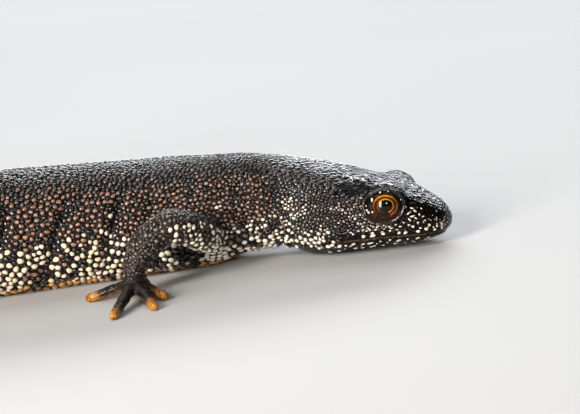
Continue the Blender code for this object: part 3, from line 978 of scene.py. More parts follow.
def wetness(here):
    """How wet the skin shines: most on the head, in streaks on its sides, and not at all on the lids."""
    wet = 0.75 + 0.25 * (1 - step(14.0, 26.0, here.along))
    cheek = step(3.0, 5.0, here.along) * (1 - step(22.0, 30.0, here.along)) * off_crown(here)
    wet = wet * (1 - 0.9 * cheek * (1 - step(0.36, 0.50, streaks(here))))
    for side in SIDES:
        ridge, front = ridge_reach(here.points, side)
        wet = np.where(front & (ridge < LID_EDGE), 0.0, wet)
    return wet


def graininess(here):
    """How strong the fine grain of the skin is: it fades on the lids, the snout and the digits."""
    strong = np.ones(len(here.along))
    for side in SIDES:
        ridge, front = ridge_reach(here.points, side)
        strong = np.where(front, np.minimum(strong, 0.12 + 0.88 * step(LID_EDGE, 1.15, ridge)), strong)
    strong *= 0.55 + 0.45 * step(1.5, 4.5, here.along)
    return strong * (1 - (here.leg > 0) * (0.35 + 0.35 * step(0.6, 0.7, here.leg_share)))


def store(mesh, name, values, kind="FLOAT"):
    """Puts a number, a colour or a vector on every point of a mesh."""
    layer = mesh.attributes.new(name, kind, "POINT")
    if kind == "FLOAT_COLOR":
        values = np.column_stack((values, np.ones(len(values))))
    field = {"FLOAT": "value", "FLOAT_COLOR": "color", "FLOAT_VECTOR": "vector"}[kind]
    layer.data.foreach_set(field, np.ascontiguousarray(values).ravel())


# --- Materials ---


def feed(tree, socket, value):
    """Gives a socket a number or a colour, or links another node's socket to it."""
    if isinstance(value, bpy.types.NodeSocket):
        tree.links.new(value, socket)
    else:
        socket.default_value = value


def node(tree, kind, place_at, inputs=(), **settings):
    """A node with some of its inputs given, as (name or number, value)."""
    made = tree.nodes.new(kind)
    made.location = place_at
    for key, value in settings.items():
        setattr(made, key, value)
    for key, value in inputs:
        feed(tree, made.inputs[key], value)
    return made


def maths(tree, operation, place_at, *values):
    return node(tree, "ShaderNodeMath", place_at, enumerate(values), operation=operation).outputs[0]


def multiplied(tree, place_at, first, second):
    """Two colours multiplied."""
    inputs = ((0, 1.0), (6, first), (7, second))
    made = node(tree, "ShaderNodeMix", place_at, inputs, data_type="RGBA", blend_type="MULTIPLY")
    return made.outputs[2]


def attribute(tree, place_at, name, output="Fac"):
    return node(tree, "ShaderNodeAttribute", place_at, attribute_name=name).outputs[output]


def ramp(tree, place_at, value, stops):
    """A colour ramp with (position, brightness or colour) stops."""
    made = node(tree, "ShaderNodeValToRGB", place_at, ((0, value),))
    elements = made.color_ramp.elements
    while len(elements) < len(stops):
        elements.new(0.5)
    for element, (position, colour) in zip(elements, stops):
        element.position = position
        element.color = (colour, colour, colour, 1.0) if isinstance(colour, float) else (*colour, 1.0)
    return made.outputs[0]


WARP = 0.0005  # how far the grain's cells are bent, in metres
WRINKLE_STRETCH = (2.6, 1.0, 1.0)
GRAIN_INPUTS = (("Granules per metre", 3000.0), ("Patches per metre", 400.0), ("Wrinkled", 0.0))


def moist_grain_group():
    """Fine moist granules: their height, a mask for the painted shade in the gaps between them, and a patchy
    film of water.
    """
    name = "moist_grain"
    if name in bpy.data.node_groups:
        return bpy.data.node_groups[name]
    group = bpy.data.node_groups.new(name, "ShaderNodeTree")
    for label, default in GRAIN_INPUTS:
        socket = group.interface.new_socket(label, in_out="INPUT", socket_type="NodeSocketFloat")
        socket.default_value = default
    for label in ("Height", "Gap", "Film"):
        group.interface.new_socket(label, in_out="OUTPUT", socket_type="NodeSocketFloat")
    start = node(group, "NodeGroupInput", (-900, 0))
    where = node(group, "ShaderNodeTexCoord", (-900, 300)).outputs["Object"]
    warp = node(group, "ShaderNodeTexNoise", (-1300, 500), (("Scale", 900.0), ("Vector", where)))
    inputs = ((0, warp.outputs["Color"]), (1, (WARP,) * 3), (2, where))
    shifted = node(group, "ShaderNodeVectorMath", (-1100, 500), inputs, operation="MULTIPLY_ADD")
    turn = (0.0, 0.0, math.radians(HEADINGS[0][1]))
    inputs = (("Rotation", turn), ("Scale", WRINKLE_STRETCH), ("Vector", shifted.outputs[0]))
    turned = node(group, "ShaderNodeMapping", (-900, 500), inputs, vector_type="TEXTURE")
    cells = []
    for vector, row in ((shifted, 300), (turned, 600)):
        inputs = (("Smoothness", 0.35), ("Vector", vector.outputs[0]), ("Scale", start.outputs[0]))
        pattern = node(group, "ShaderNodeTexVoronoi", (-700, row), inputs, feature="SMOOTH_F1")
        cells.append(pattern.outputs["Distance"])
    inputs = ((0, start.outputs[2]), (2, cells[0]), (3, cells[1]))
    granules = node(group, "ShaderNodeMix", (-500, 400), inputs, data_type="FLOAT").outputs[0]
    fine_scale = maths(group, "MULTIPLY", (-700, 0), start.outputs[0], 1.7)
    inputs = (("Vector", where), ("Scale", fine_scale), ("Detail", 3.0))
    fine = node(group, "ShaderNodeTexNoise", (-500, 0), inputs)
    inputs = (("Vector", where), ("Scale", start.outputs[1]), ("Detail", 4.0))
    patches = node(group, "ShaderNodeTexNoise", (-500, -300), inputs)
    dome_height = maths(group, "SUBTRACT", (-250, 300), 1.0, granules)
    height = maths(group, "MULTIPLY_ADD", (0, 300), fine.outputs["Fac"], 0.35, dome_height)
    gap = ramp(group, (-250, 100), granules, ((0.25, 0.0), (0.75, 1.0)))
    film = ramp(group, (-250, -300), patches.outputs["Fac"], ((0.38, 0.0), (0.62, 1.0)))
    node(group, "NodeGroupOutput", (700, 0), ((0, height), (1, gap), (2, film)))
    return group


def new_material(name):
    """A material with only its shader and output, and the tree and shader to work on."""
    material = bpy.data.materials.new(name)
    material.use_nodes = True
    tree = material.node_tree
    tree.nodes.clear()
    shader = node(tree, "ShaderNodeBsdfPrincipled", (600, 0))
    node(tree, "ShaderNodeOutputMaterial", (900, 0), (("Surface", shader.outputs[0]),))
    return material, tree, shader


def grained(tree, shader, scales, gap_shade_tone, bump_strength, depth, strong=None):
    """Gives a shader the markings of its mesh, with painted shade in the gaps of the grain, and the grain's
    bumps.
    """
    grain = node(tree, "ShaderNodeGroup", (-600, 0), node_tree=moist_grain_group())
    for key, value in enumerate(scales):
        feed(tree, grain.inputs[key], value)
    markings = attribute(tree, (-600, 300), "markings", "Color")
    # Painted shade: the markings are darkened in the gaps between the granules.
    darkened = multiplied(tree, (-300, 300), markings, (*gap_shade_tone, 1.0))
    inputs = ((0, grain.outputs["Gap"]), (6, markings), (7, darkened))
    base = node(tree, "ShaderNodeMix", (-50, 300), inputs, data_type="RGBA")
    height = grain.outputs["Height"]
    if strong is not None:
        height = maths(tree, "MULTIPLY", (100, -600), height, strong)
    inputs = (("Strength", bump_strength), ("Distance", depth), ("Height", height))
    bump = node(tree, "ShaderNodeBump", (300, -600), inputs)
    feed(tree, shader.inputs["Base Color"], base.outputs[2])
    feed(tree, shader.inputs["Normal"], bump.outputs[0])
    return grain.outputs["Film"]


def skin_material(name, granules, depth, gloss, shine):
    """Moist skin: the more film and the wetter the place, the smoother it is."""
    material, tree, shader = new_material(name)
    scales = (granules, 420.0, attribute(tree, (-900, 0), "wrinkled"))
    strong = attribute(tree, (-300, -600), "graininess")
    # The gaps of the grain are darkened to this tone as painted shade.
    film = grained(tree, shader, scales, (0.35, 0.33, 0.33), 1.0, depth, strong)
    wet = attribute(tree, (-600, -300), "wet")
    wet_film = maths(tree, "MULTIPLY", (-300, -200), film, wet)
    dry = maths(tree, "MULTIPLY_ADD", (-150, -100), wet, -0.24, gloss + 0.24)
    feed(tree, shader.inputs["Roughness"], maths(tree, "MULTIPLY_ADD", (0, -200), wet_film, -0.26, dry))
    feed(tree, shader.inputs["Specular IOR Level"], shine)
    return material


def wart_material(name):
    """Smooth wet domes that carry their own colours, a little mottled."""
    material, tree, shader = new_material(name)
    # The gaps of the grain are darkened to this tone as painted shade.
    film = grained(tree, shader, (9000.0, 900.0), (0.72, 0.66, 0.60), 0.4, 0.000012)
    wet = attribute(tree, (-600, -300), "wet")
    for key, value in (
        ("Roughness", maths(tree, "MULTIPLY_ADD", (0, -200), film, -0.15, 0.40)),
        ("Coat Weight", maths(tree, "MULTIPLY_ADD", (0, -400), wet, 0.8, 0.2)),
        ("Coat Roughness", 0.05),
        ("Coat IOR", 1.62),
        ("Specular IOR Level", 0.08),
    ):
        feed(tree, shader.inputs[key], value)
    return material


# Rings of the iris from the pupil out, as (half the distance from its middle in millimetres, colour).
IRIS_RINGS = (
    (0.0, (0.0004, 0.0004, 0.0004)), (0.352, (0.0004, 0.0004, 0.0004)),
    (0.370, (0.24, 0.09, 0.005)), (0.400, (0.40, 0.19, 0.011)),
    (0.430, (0.055, 0.018, 0.003)), (0.530, (0.035, 0.011, 0.002)), (0.565, (0.16, 0.050, 0.002)),
    (0.603, (0.50, 0.20, 0.012)), (0.632, (0.16, 0.045, 0.004)), (0.655, (0.004, 0.003, 0.002)),
)
# How bright and warm the iris is round the pupil, as (share of the way round, tone).
IRIS_TONES = (
    (0.0, (0.36, 0.29, 0.21)), (0.10, (0.16, 0.10, 0.06)), (0.19, (0.08, 0.05, 0.03)),
    (0.295, (0.05, 0.03, 0.02)), (0.335, (1.80, 1.10, 0.45)), (0.42, (0.95, 0.62, 0.34)),
    (0.56, (0.80, 0.66, 0.48)), (0.70, (1.45, 1.60, 1.50)), (0.82, (1.20, 1.25, 1.05)),
    (0.92, (0.66, 0.56, 0.42)), (1.0, (0.36, 0.29, 0.21)),
)
IRIS_HEIGHT = 0.85  # of its rings, as a share of their width


def eye_material(name):
    """A gold and dark ringed iris round a black pupil, under a wet surface."""
    material, tree, shader = new_material(name)
    where = attribute(tree, (-1300, 0), "iris_place", "Vector")
    apart = node(tree, "ShaderNodeSeparateXYZ", (-1100, 0), ((0, where),)).outputs
    across = maths(tree, "POWER", (-900, 200), apart[0], 2.0)
    up = maths(tree, "POWER", (-900, 0), maths(tree, "DIVIDE", (-1000, 0), apart[1], IRIS_HEIGHT), 2.0)
    far = maths(tree, "SQRT", (-600, 100), maths(tree, "ADD", (-750, 100), across, up))
    inputs = (("Scale", 3.4), ("Detail", 4.0), ("Vector", where))
    cloud = node(tree, "ShaderNodeTexNoise", (-900, -300), inputs).outputs["Fac"]
    wobble = maths(tree, "MULTIPLY_ADD", (-600, -200), cloud, 0.17, -0.085)
    half = maths(tree, "MULTIPLY", (-300, 0), maths(tree, "ADD", (-450, 0), far, wobble), 0.5)
    angle = maths(tree, "ARCTAN2", (-700, -500), apart[1], apart[0])
    turn = maths(tree, "MULTIPLY_ADD", (-500, -500), angle, 0.5 / math.pi, 0.5)
    rings = ramp(tree, (-100, 100), half, IRIS_RINGS)
    tones = ramp(tree, (-300, -500), turn, IRIS_TONES)
    inputs = (("Scale", 14.0), ("Vector", where))
    fibres = node(tree, "ShaderNodeTexNoise", (-100, -300), inputs).outputs["Fac"]
    for key, value in (
        ("Base Color", multiplied(tree, (200, 100), rings, tones)),
        ("Roughness", maths(tree, "MULTIPLY_ADD", (200, -300), fibres, 0.3, 0.45)),
        ("Specular IOR Level", 0.03),
        ("Coat Weight", 1.0),
        ("Coat Roughness", 0.015),
        ("Coat IOR", 1.38),
    ):
        feed(tree, shader.inputs[key], value)
    return material


def material_named(name, maker):
    """The material of that name, made if it isn't there yet."""
    return bpy.data.materials.get(name) or maker(name)


# --- Pieces ---

MADE = {}  # what later pieces need from the skin


KNOWN_DECIMALS = 4
SEAM_WIDTH = 0.85  # how far from the seam of a leg the skin is smoothed
SEAM_ROUNDS = 14
SEAM_PULL = 0.6
MOST_SEAM_POINTS = 1500


def lid_faces(mesh, points):
    """1 for each face of the lids, which are smoother than the skin round them, and 0 for the others."""
    lid = np.zeros(len(points), dtype=bool)
    for side in SIDES:
        ridge, front = ridge_reach(points, side)
        lid |= front & (ridge < 1.0)
    return [int(lid[list(face.vertices)].all()) for face in mesh.polygons]


def rows_known(*groups):
    """The rounded places of several groups of points."""
    return {tuple(row) for points in groups for row in np.round(points, KNOWN_DECIMALS)}


def body_object(settings):
    """The head, trunk and tail as one closed mesh, in millimetres from the snout tip."""
    mesh, along, aside, height = body_mesh(BodyOutline(), settings.points_round)
    triangles = mesh_triangles(mesh)
    points = mesh_points(mesh)
    on_head = along < HEAD_END
    for side in SIDES:
        lids = points.copy()
        raise_lids(lids, side)
        open_lids(lids, side)
        points[on_head] = lids[on_head]
    points = shape_head(points, triangles, along, aside, height)
    points = shape_trunk(points, triangles, along, aside, height)
    set_points(mesh, points)
    return shown("newt_skin", mesh), points


def with_legs(body, points, settings):
    """Joins the legs to the body, and gives the joined mesh's points, smoothed along the seams."""
    legs = [leg_object(leg, index, settings.leg_grain) for index, leg in enumerate(LEGS)]
    known = rows_known(points, *(mesh_points(leg.data) for leg in legs))
    all_legs = shown("legs", finished("legs", joined([leg.data for leg in legs])))
    union = body.modifiers.new("legs_on", "BOOLEAN")
    union.operation = "UNION"
    union.solver = "EXACT"
    union.object = all_legs
    body.data = cleaned(applied(body))
    bpy.data.objects.remove(all_legs)

    points = mesh_points(body.data)
    fresh = np.array([tuple(row) not in known for row in np.round(points, KNOWN_DECIMALS)])
    seam = points[fresh]
    gap = nearest_gap(points, seam[:: max(1, len(seam) // MOST_SEAM_POINTS)])
    weight = np.exp(-((gap / SEAM_WIDTH) ** 2))[:, None]
    edges = mesh_edges(body.data)
    for _ in range(SEAM_ROUNDS):
        points = points + SEAM_PULL * weight * (neighbours_mean(points, edges) - points)
    points[:, 2] = np.maximum(points[:, 2], 0.0)
    return points


def make_skin(settings):
    body, points = body_object(settings)
    points = with_legs(body, points, settings)
    mesh = body.data
    set_points(mesh, to_frame(points))
    here = SkinMap(points, point_normals(points, mesh_triangles(mesh)))
    store(mesh, "markings", ground_colours(here), "FLOAT_COLOR")
    store(mesh, "wet", wetness(here))
    store(mesh, "wrinkled", crownness(here))
    store(mesh, "graininess", graininess(here))
    smooth_shaded(mesh)
    mesh.materials.clear()
    depth = settings.grain_depth * MM
    for name, gloss, shine in (
        ("newt_skin", settings.roughness, settings.shine),
        ("newt_lids", settings.lid_roughness, settings.lid_shine),
    ):
        mesh.materials.append(skin_material(name, settings.granules, depth, gloss, shine))
    mesh.polygons.foreach_set("material_index", lid_faces(mesh, points))
    body.name = "newt_skin"
    MADE["skin"] = here
    MADE["triangles"] = mesh_triangles(mesh)
    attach(body, "root")
    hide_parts(*FLESH)


# --- Warts ---

# Kinds of wart: the colour of each one's side and of its top.
CREAM = ((0.34, 0.27, 0.19), (0.82, 0.75, 0.63))
ORANGE_CREAM = ((0.26, 0.10, 0.02), (0.62, 0.34, 0.10))
# Pale pink tops: partly the warts' own colour and partly painted highlight.
PINK_AND_HIGHLIGHT = ((0.019, 0.0078, 0.0048), (0.46, 0.265, 0.195))
# Grey tops: dark grey warts whose tops partly stand for painted sheen on the back.
GREY_AND_SHEEN = ((0.0070, 0.0047, 0.0040), (0.110, 0.082, 0.074))
SOOT = ((0.0055, 0.0030, 0.0023), (0.022, 0.0120, 0.0092))
SPECK = ((0.24, 0.18, 0.12), (0.84, 0.78, 0.67))
SLATE = ((0.044, 0.0310, 0.0270), (0.230, 0.172, 0.152))
# Pale stipples on the face: partly real white stippling and partly painted wet glints.
STIPPLE_AND_GLINT = ((0.026, 0.0105, 0.0065), (0.86, 0.70, 0.60))
WART_COLOURS = (CREAM, ORANGE_CREAM, PINK_AND_HIGHLIGHT, GREY_AND_SHEEN, SOOT, SPECK, SLATE, STIPPLE_AND_GLINT)
IS_CREAM, IS_ORANGE, IS_PINK_AND_HIGHLIGHT, IS_GREY_AND_SHEEN, IS_SOOT, IS_SPECK, IS_SLATE, IS_STIPPLE_AND_GLINT = range(8)

REAR_LESS = np.array((0.0, 0.05, 0.15))  # how much less green and blue the tops of warts have on the trunk
FRONT_MORE = np.array((0.08, 0.18, 0.26))  # how much more red, green and blue they have on the head
UNEVEN = (0.10, 0.09)  # how far a wart's outline is from round: in two and in three lobes
SUNK = -0.22  # where the rim of a wart lies under the skin, as a share of its height
FLARE = 1.06  # how much wider than the wart that rim is
PATCH = 0.003  # side of a wart's patch on the map of the skin
PATCH_SPAN = 2.3  # width of a dome's own outline, with its flare and lobes
BATCH = 700
SLAB = 5.0  # millimetres of the body that are filled in turn


class Spots:
    """Places on the skin for warts, with what is known of the skin there."""

    FIELDS = ("points", "normals", "along", "aside", "height", "turn", "rise", "leg", "leg_share", "tip_gap")

    def __init__(self, here, index, shares=None):
        for field in self.FIELDS:
            values = getattr(here, field)
            if shares is None or field in ("leg", "turn"):
                setattr(self, field, values[index[:, 0]])
            else:
                parts = values[index]
                weights = shares[..., None] if parts.ndim == 3 else shares
                setattr(self, field, (parts * weights).sum(axis=1))
        self.normals = unit(self.normals)
        self.radius = np.zeros(len(self.along))
        self.stretch = np.ones(len(self.along))
        self.spin = np.zeros(len(self.along))
        self.on_body = True

    def picked(self, which):
        chosen = object.__new__(Spots)
        for field in (*self.FIELDS, "radius", "stretch", "spin"):
            setattr(chosen, field, getattr(self, field)[which])
        chosen.on_body = self.on_body
        return chosen

    def with_others(self, other):
        joined = object.__new__(Spots)
        for field in (*self.FIELDS, "radius", "stretch", "spin"):
            setattr(joined, field, np.concatenate((getattr(self, field), getattr(other, field))))
        joined.on_body = self.on_body
        return joined


def scattered(here, triangles, wanted, count, usual, rng):
    """Random places on the wanted part of the skin, closer together where warts are usually smaller."""
    chosen = triangles[wanted[triangles].all(axis=1)]
    a, b, c = (here.points[chosen[:, k]] for k in range(3))
    areas = np.linalg.norm(np.cross(b - a, c - a), axis=1) / usual(Spots(here, chosen[:, :1]))[0] ** 2
    picks = rng.choice(len(chosen), size=count, p=areas / areas.sum())
    u, v = rng.random(count), rng.random(count)
    over = u + v > 1
    u, v = np.where(over, 1 - u, u), np.where(over, 1 - v, v)
    return Spots(here, chosen[picks], np.stack((1 - u - v, u, v), axis=1))


def apart(first, second):
    """How far spots are from others, counting less along the body where warts are long."""
    longer = (first.stretch[:, None] + second.stretch[None, :]) / 2
    if first.on_body:
        along = (first.along[:, None] - second.along[None, :]) / longer
        aside = first.aside[:, None] - second.aside[None, :]
        height = first.height[:, None] - second.height[None, :]
        return np.sqrt(along**2 + aside**2 + height**2)
    return np.linalg.norm(first.points[:, None, :] - second.points[None, :, :], axis=2)


def with_room(spots, kept, tight):
    """The spots that have room beside those kept and beside each other, taken in turn."""
    slabs = np.floor(spots.along / SLAB).astype(int)
    for slab in np.unique(slabs):
        inside = spots.picked(slabs == slab)
        for start in range(0, len(inside.along), BATCH):
            batch = inside.picked(slice(start, start + BATCH))
            if kept is not None:
                middle = (slab + 0.5) * SLAB
                near = kept.picked(np.abs(kept.along - middle) < SLAB / 2 + 1.5)
                need = (batch.radius[:, None] + near.radius[None, :]) * tight
                batch = batch.picked((apart(batch, near) > need).all(axis=1))
            clash = apart(batch, batch) < (batch.radius[:, None] + batch.radius[None, :]) * tight
            taken = np.zeros(len(batch.along), dtype=bool)
            for i in range(len(taken)):
                taken[i] = not (clash[i] & taken).any()
            batch = batch.picked(taken)
            kept = batch if kept is None else kept.with_others(batch)
    return kept


def packed(here, triangles, wanted, sizes, usual, rng, kept=None, on_body=True):
    """Warts of several sizes, the largest first: each is (share of the usual radius, tries, room, where)."""
    for (smallest, largest), tries, tight, likely in sizes:
        spots = scattered(here, triangles, wanted, tries, usual, rng)
        spots.on_body = on_body
        radius, spots.stretch = usual(spots)
        spots.radius = radius * (smallest + (largest - smallest) * rng.random(tries))
        spots.spin = 0.3 * rng.standard_normal(tries)
        spots = spots.picked(rng.random(tries) < likely(spots))
        kept = with_room(spots, kept, tight)
    return kept


def dome(sides, rings):
    """A closed dome of radius and height 1 with its rim a little below the skin."""
    bm = bmesh.new()
    bmesh.ops.create_uvsphere(bm, u_segments=sides, v_segments=rings * 2, radius=1.0)
    everything = bm.verts[:] + bm.edges[:] + bm.faces[:]
    bmesh.ops.bisect_plane(bm, geom=everything, plane_co=(0, 0, -0.01), plane_no=(0, 0, -1), clear_outer=True)
    bmesh.ops.holes_fill(bm, edges=[edge for edge in bm.edges if edge.is_boundary], sides=0)
    mesh = finished("dome", bm)
    points, faces = mesh_points(mesh), mesh_triangles(mesh)
    bpy.data.meshes.remove(mesh)
    rim = points[:, 2] < 0.05
    points[rim, 2] = SUNK
    points[rim, :2] *= FLARE
    return points, faces


def wart_axes(spots):
    """Directions of each wart along the body and across it, in the plane of the skin, turned by its spin."""
    yaw = heading(spots.along)
    ahead = np.stack((np.cos(yaw), np.sin(yaw), np.zeros(len(yaw))), axis=1)
    ahead = unit(ahead - (ahead * spots.normals).sum(axis=1, keepdims=True) * spots.normals)
    across = np.cross(spots.normals, ahead)
    spin = spots.spin[:, None]
    return np.cos(spin) * ahead + np.sin(spin) * across, np.cos(spin) * across - np.sin(spin) * ahead


def wart_points(spots, along_stretch, across_stretch, heights, shape, rng):
    """The points of one dome for each spot, each with a slightly uneven outline."""
    ahead, across = wart_axes(spots)
    round_it = np.arctan2(shape[:, 1], shape[:, 0])[None, :]
    starts = 2 * math.pi * rng.random((2, len(spots.along), 1))
    bulge = 1 + UNEVEN[0] * np.cos(2 * round_it + starts[0]) + UNEVEN[1] * np.cos(3 * round_it + starts[1])
    long_reach = shape[None, :, 0] * bulge * (spots.radius * along_stretch)[:, None]
    wide_reach = shape[None, :, 1] * bulge * (spots.radius * across_stretch)[:, None]
    along_part = long_reach[:, :, None] * ahead[:, None, :]
    across_part = wide_reach[:, :, None] * across[:, None, :]
    up_part = (shape[None, :, 2, None] * (spots.radius * heights)[:, None, None]) * spots.normals[:, None, :]
    points = spots.points[:, None, :] + along_part + across_part + up_part
    points[..., 2] = np.maximum(points[..., 2], 0.0)
    return points


def wart_colours(spots, kinds, shape, rng):
    """Colours from the ground at each wart's foot, darkened there as painted shade, over its side to its top,
    paler towards the head.
    """
    count = len(kinds)
    side, top = np.array(WART_COLOURS)[kinds].transpose(1, 0, 2)
    is_pale = np.isin(kinds, (IS_CREAM, IS_ORANGE))
    shade = np.where(is_pale, 0.78 + 0.3 * rng.random(count), 0.5 + 0.7 * rng.random(count))
    tint = np.stack((np.ones(count), 0.92 + 0.1 * rng.random(count), 0.85 + 0.2 * rng.random(count)), axis=1)
    top = top * shade[:, None] * tint
    rear = step(24.0, 40.0, spots.along)[:, None]
    top = top * (1 - rear * REAR_LESS + (1 - rear) * FRONT_MORE)
    level = np.clip(shape[:, 2], 0.0, 1.0)[None, :, None]
    pale = is_pale[:, None, None]
    low_share = np.where(pale, step(-0.3, 0.12, level), step(0.0, 0.62, level))
    high_share = np.where(pale, step(0.1, 0.75, level), step(0.68, 1.12, level))
    # The foot of each wart is darkened: painted shade where it meets the skin.
    ground = ground_colours(spots)[:, None, :] * 0.7
    colours = ground * (1 - low_share) + side[:, None, :] * low_share
    return colours * (1 - high_share) + top[:, None, :] * high_share


def joined_warts(name, groups, unwrap, rng):
    """One mesh of many domes. Each group is (spots, kinds, stretch along, stretch across, height, dome)."""
    rows = []
    total = 0
    for spots, kinds, along_stretch, across_stretch, heights, (shape, faces) in groups:
        count = len(spots.along)
        if count == 0:
            continue
        points = wart_points(spots, along_stretch, across_stretch, heights, shape, rng)
        colours = wart_colours(spots, kinds, shape, rng)
        patches = np.stack(unwrap(spots), axis=1)[:, None, :] + shape[None, :, :2] * PATCH / PATCH_SPAN
        starts = total + np.arange(count) * len(shape)
        corners = (starts[:, None, None] + faces[None, :, :]).reshape(-1, 3)
        wet = np.repeat(wetness(spots), len(shape))
        rows.append((points.reshape(-1, 3), colours.reshape(-1, 3), patches.reshape(-1, 2), wet, corners))
        total += count * len(shape)
    points, colours, patches, wet, faces = (np.concatenate(column) for column in zip(*rows))
    mesh = bpy.data.meshes.new(name)
    mesh.from_pydata(to_frame(points).tolist(), [], faces.tolist())
    store(mesh, "markings", colours, "FLOAT_COLOR")
    store(mesh, "wet", wet)
    patches = np.clip(patches, 0.0, 1.0)
    mesh.uv_layers.new(name="OFBake").data.foreach_set("uv", patches[faces.ravel()].ravel())
    smooth_shaded(mesh)
    mesh.materials.append(material_named("newt_warts", wart_material))
    obj = shown(name, mesh)
    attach(obj, "root")


def eye_clear(here, margin):
    """Whether a place is outside the ridge round each eye by a margin."""
    clear = np.ones(len(here.along), dtype=bool)
    for side in SIDES:
        ridge, front = ridge_reach(here.points, side, (margin, margin))
        clear &= (ridge > 1) | ~front
    return clear


def throatness(at):
    """1 low on the cheek and throat, where the warts are large and pale."""
    low = 1 - step(2.3, 3.6, at.height - 0.12 * (at.along - 12.0))
    return step(9.5, 11.5, at.along) * low


def usual_body_wart(at):
    """The usual radius of a wart at places on the body, and how much longer than wide it is."""
    trunk = 0.200 + 0.070 * step(22.0, 44.0, at.along) - 0.025 * step(0.7, 0.95, at.rise)
    trunk = trunk + 0.075 * (1 - step(0.24, 0.40, at.rise)) * (1 - 0.6 * step(28.0, 40.0, at.along))
    trunk = trunk * (1 - 0.42 * step(78.0, 132.0, at.along))
    face = 0.150 + 0.04 * crownness(at) + 0.065 * throatness(at)
    face = face + 0.03 * step(12.0, 17.0, at.along) - 0.035 * (1 - step(4.0, 7.5, at.along))
    radius = face + (trunk - face) * step(14.5, 21.0, at.along)
    return radius, 1.1 + 0.5 * crownness(at)


def body_likely(at):
    """How likely a wart is at a place on the body: few on the snout and by the eyes."""
    snout = step(5.0, 8.0, at.along)
    crown = 0.003 + step(9.0, 13.0, at.along) ** 2
    jaw = (at.height < through(MOUTH, at.along) + 0.95) & (at.along < 10.5)
    likely = np.where(crownness(at) > 0.5, crown, snout)
    off_nostril = (np.abs(at.aside) - NOSTRIL[1]) ** 2 + (at.height - NOSTRIL[2]) ** 2
    hole = off_nostril + (at.along - NOSTRIL[0]) ** 2 < 0.25
    likely = likely * (1 - 0.55 * step(0.5, 0.8, rib_groove(at.points, at.along, at.height, 0.18)))
    return np.where(jaw | hole, 0.0, likely)


def cream_chance(spots, low, face):
    """How likely a wart is to be cream: in clusters low on the flank, on the throat, and few on the cheek."""
    cluster = rough_noise(spots.points / 2.2, 61, 2)
    cream = (0.18 + 0.95 * step(0.40, 0.54, cluster)) * low + 0.02 * (1 - step(0.5, 0.8, spots.rise))
    cream = cream + 0.25 * bell(spots.along - 20.5, 3.0) * (1 - step(0.20, 0.34, spots.rise))
    cream = cream * (1 - 0.8 * step(70.0, 80.0, spots.along))
    speckle = 0.10 * step(5.5, 8.5, spots.along) * (1 - 0.6 * step(5.2, 6.4, spots.height))
    cream = cream * (1 - face) + face * (speckle + 0.60 * throatness(spots)) * off_crown(spots)
    return cream * (1 - step(0.55, 0.75, spots.rise) * step(14.0, 16.0, spots.along))


def body_kinds(spots, rng):
    """The kind of each wart: cream low on flank and throat, pink higher with tops partly painted highlight,
    grey on the back partly as painted sheen, pale stipples on the face partly as painted glints, dark
    between, and dark in the rib grooves as painted shade.
    """
    low = 1 - step(0.32, 0.52, spots.rise)
    face = 1 - step(16.0, 20.0, spots.along)
    tail = step(74.0, 80.0, spots.along)
    top = np.maximum(step(0.76, 0.95, spots.rise), face)
    dim = 0.08 + 0.28 * low + 0.15 * face + 0.4 * step(0.55, 0.75, rough_noise(spots.points / 1.6, 67, 2))
    # Painted shade: warts in the grooves between the ribs are dark.
    dim = np.maximum(dim, 0.9 * rib_groove(spots.points, spots.along, spots.height, 0.4))
    # Pale stipples in streaks on the face, partly painted wet glints.
    glint_stipple = face * (0.03 + 0.62 * step(0.46, 0.60, streaks(spots))) * step(2.0, 4.0, spots.along)
    glint_stipple = glint_stipple * (1 - 0.85 * step(6.2, 7.4, spots.height)) * off_crown(spots)

    def drawn(chance):
        return rng.random(len(spots.along)) < chance

    # Grey warts on the back and face; on the back their grey tops partly stand for painted sheen.
    kinds = np.where(drawn(0.08 + 0.92 * top), IS_GREY_AND_SHEEN, IS_PINK_AND_HIGHLIGHT)
    kinds = np.where(drawn(dim), IS_SOOT, kinds)
    kinds = np.where(drawn(glint_stipple), IS_STIPPLE_AND_GLINT, kinds)
    kinds = np.where(drawn(cream_chance(spots, low, face)), IS_CREAM, kinds)
    orange = (spots.rise < 0.075 + 0.07 * tail) & drawn(0.75) & (spots.along > 19.0)
    return np.where(orange & ((kinds == IS_CREAM) | (tail > 0.5)), IS_ORANGE, kinds)


def split_sizes(spots, kinds, small, heights, rng):
    """Groups for joined_warts: large domes with more faces, and small ones with few."""
    groups = []
    for which, shape in ((spots.radius >= small, MADE["dome"]), (spots.radius < small, MADE["small_dome"])):
        chosen = spots.picked(which)
        count = len(chosen.along)
        longer = chosen.stretch * (1 + 0.25 * (rng.random(count) - 0.4))
        wider = 1 + 0.2 * (rng.random(count) - 0.5)
        tall = heights[which] * (0.85 + 0.3 * rng.random(count))
        groups.append((chosen, kinds[which], longer, wider, tall, shape))
    return groups


def body_unwrap(start, end):
    """The map of a length of the body: along it one way and round it the other."""

    def unwrap(at):
        return (at.along - start) / (end - start) * 0.98 + 0.01, at.turn * 0.98 + 0.01

    return unwrap


def wart_places(here):
    """Which points of the body have warts: not those that rest, on the lips, by the eyes or the tail tip."""
    resting = (here.height < 0.12) & (here.normals[:, 2] < -0.6)
    over_mouth = here.height - through(MOUTH, here.along)
    lips = (np.abs(over_mouth) < 0.2) & (here.along < MOUTH_CORNER + 0.3)
    body = (here.leg == 0) & ~resting & ~lips & eye_clear(here, 0.12) & (here.along < 137.5)
    return body & ((here.normals[:, 2] > -0.75) | (here.along > 18.0))


# Sizes of the body's warts, the largest first, for packed.
BODY_SIZES = (
    ((0.98, 1.25), 40000, 0.92, body_likely),
    ((0.78, 0.96), 40000, 0.92, body_likely),
    ((0.58, 0.76), 40000, 0.92, body_likely),
    ((0.40, 0.56), 50000, 0.90, lambda at: body_likely(at) * (at.along < 76.0)),
)


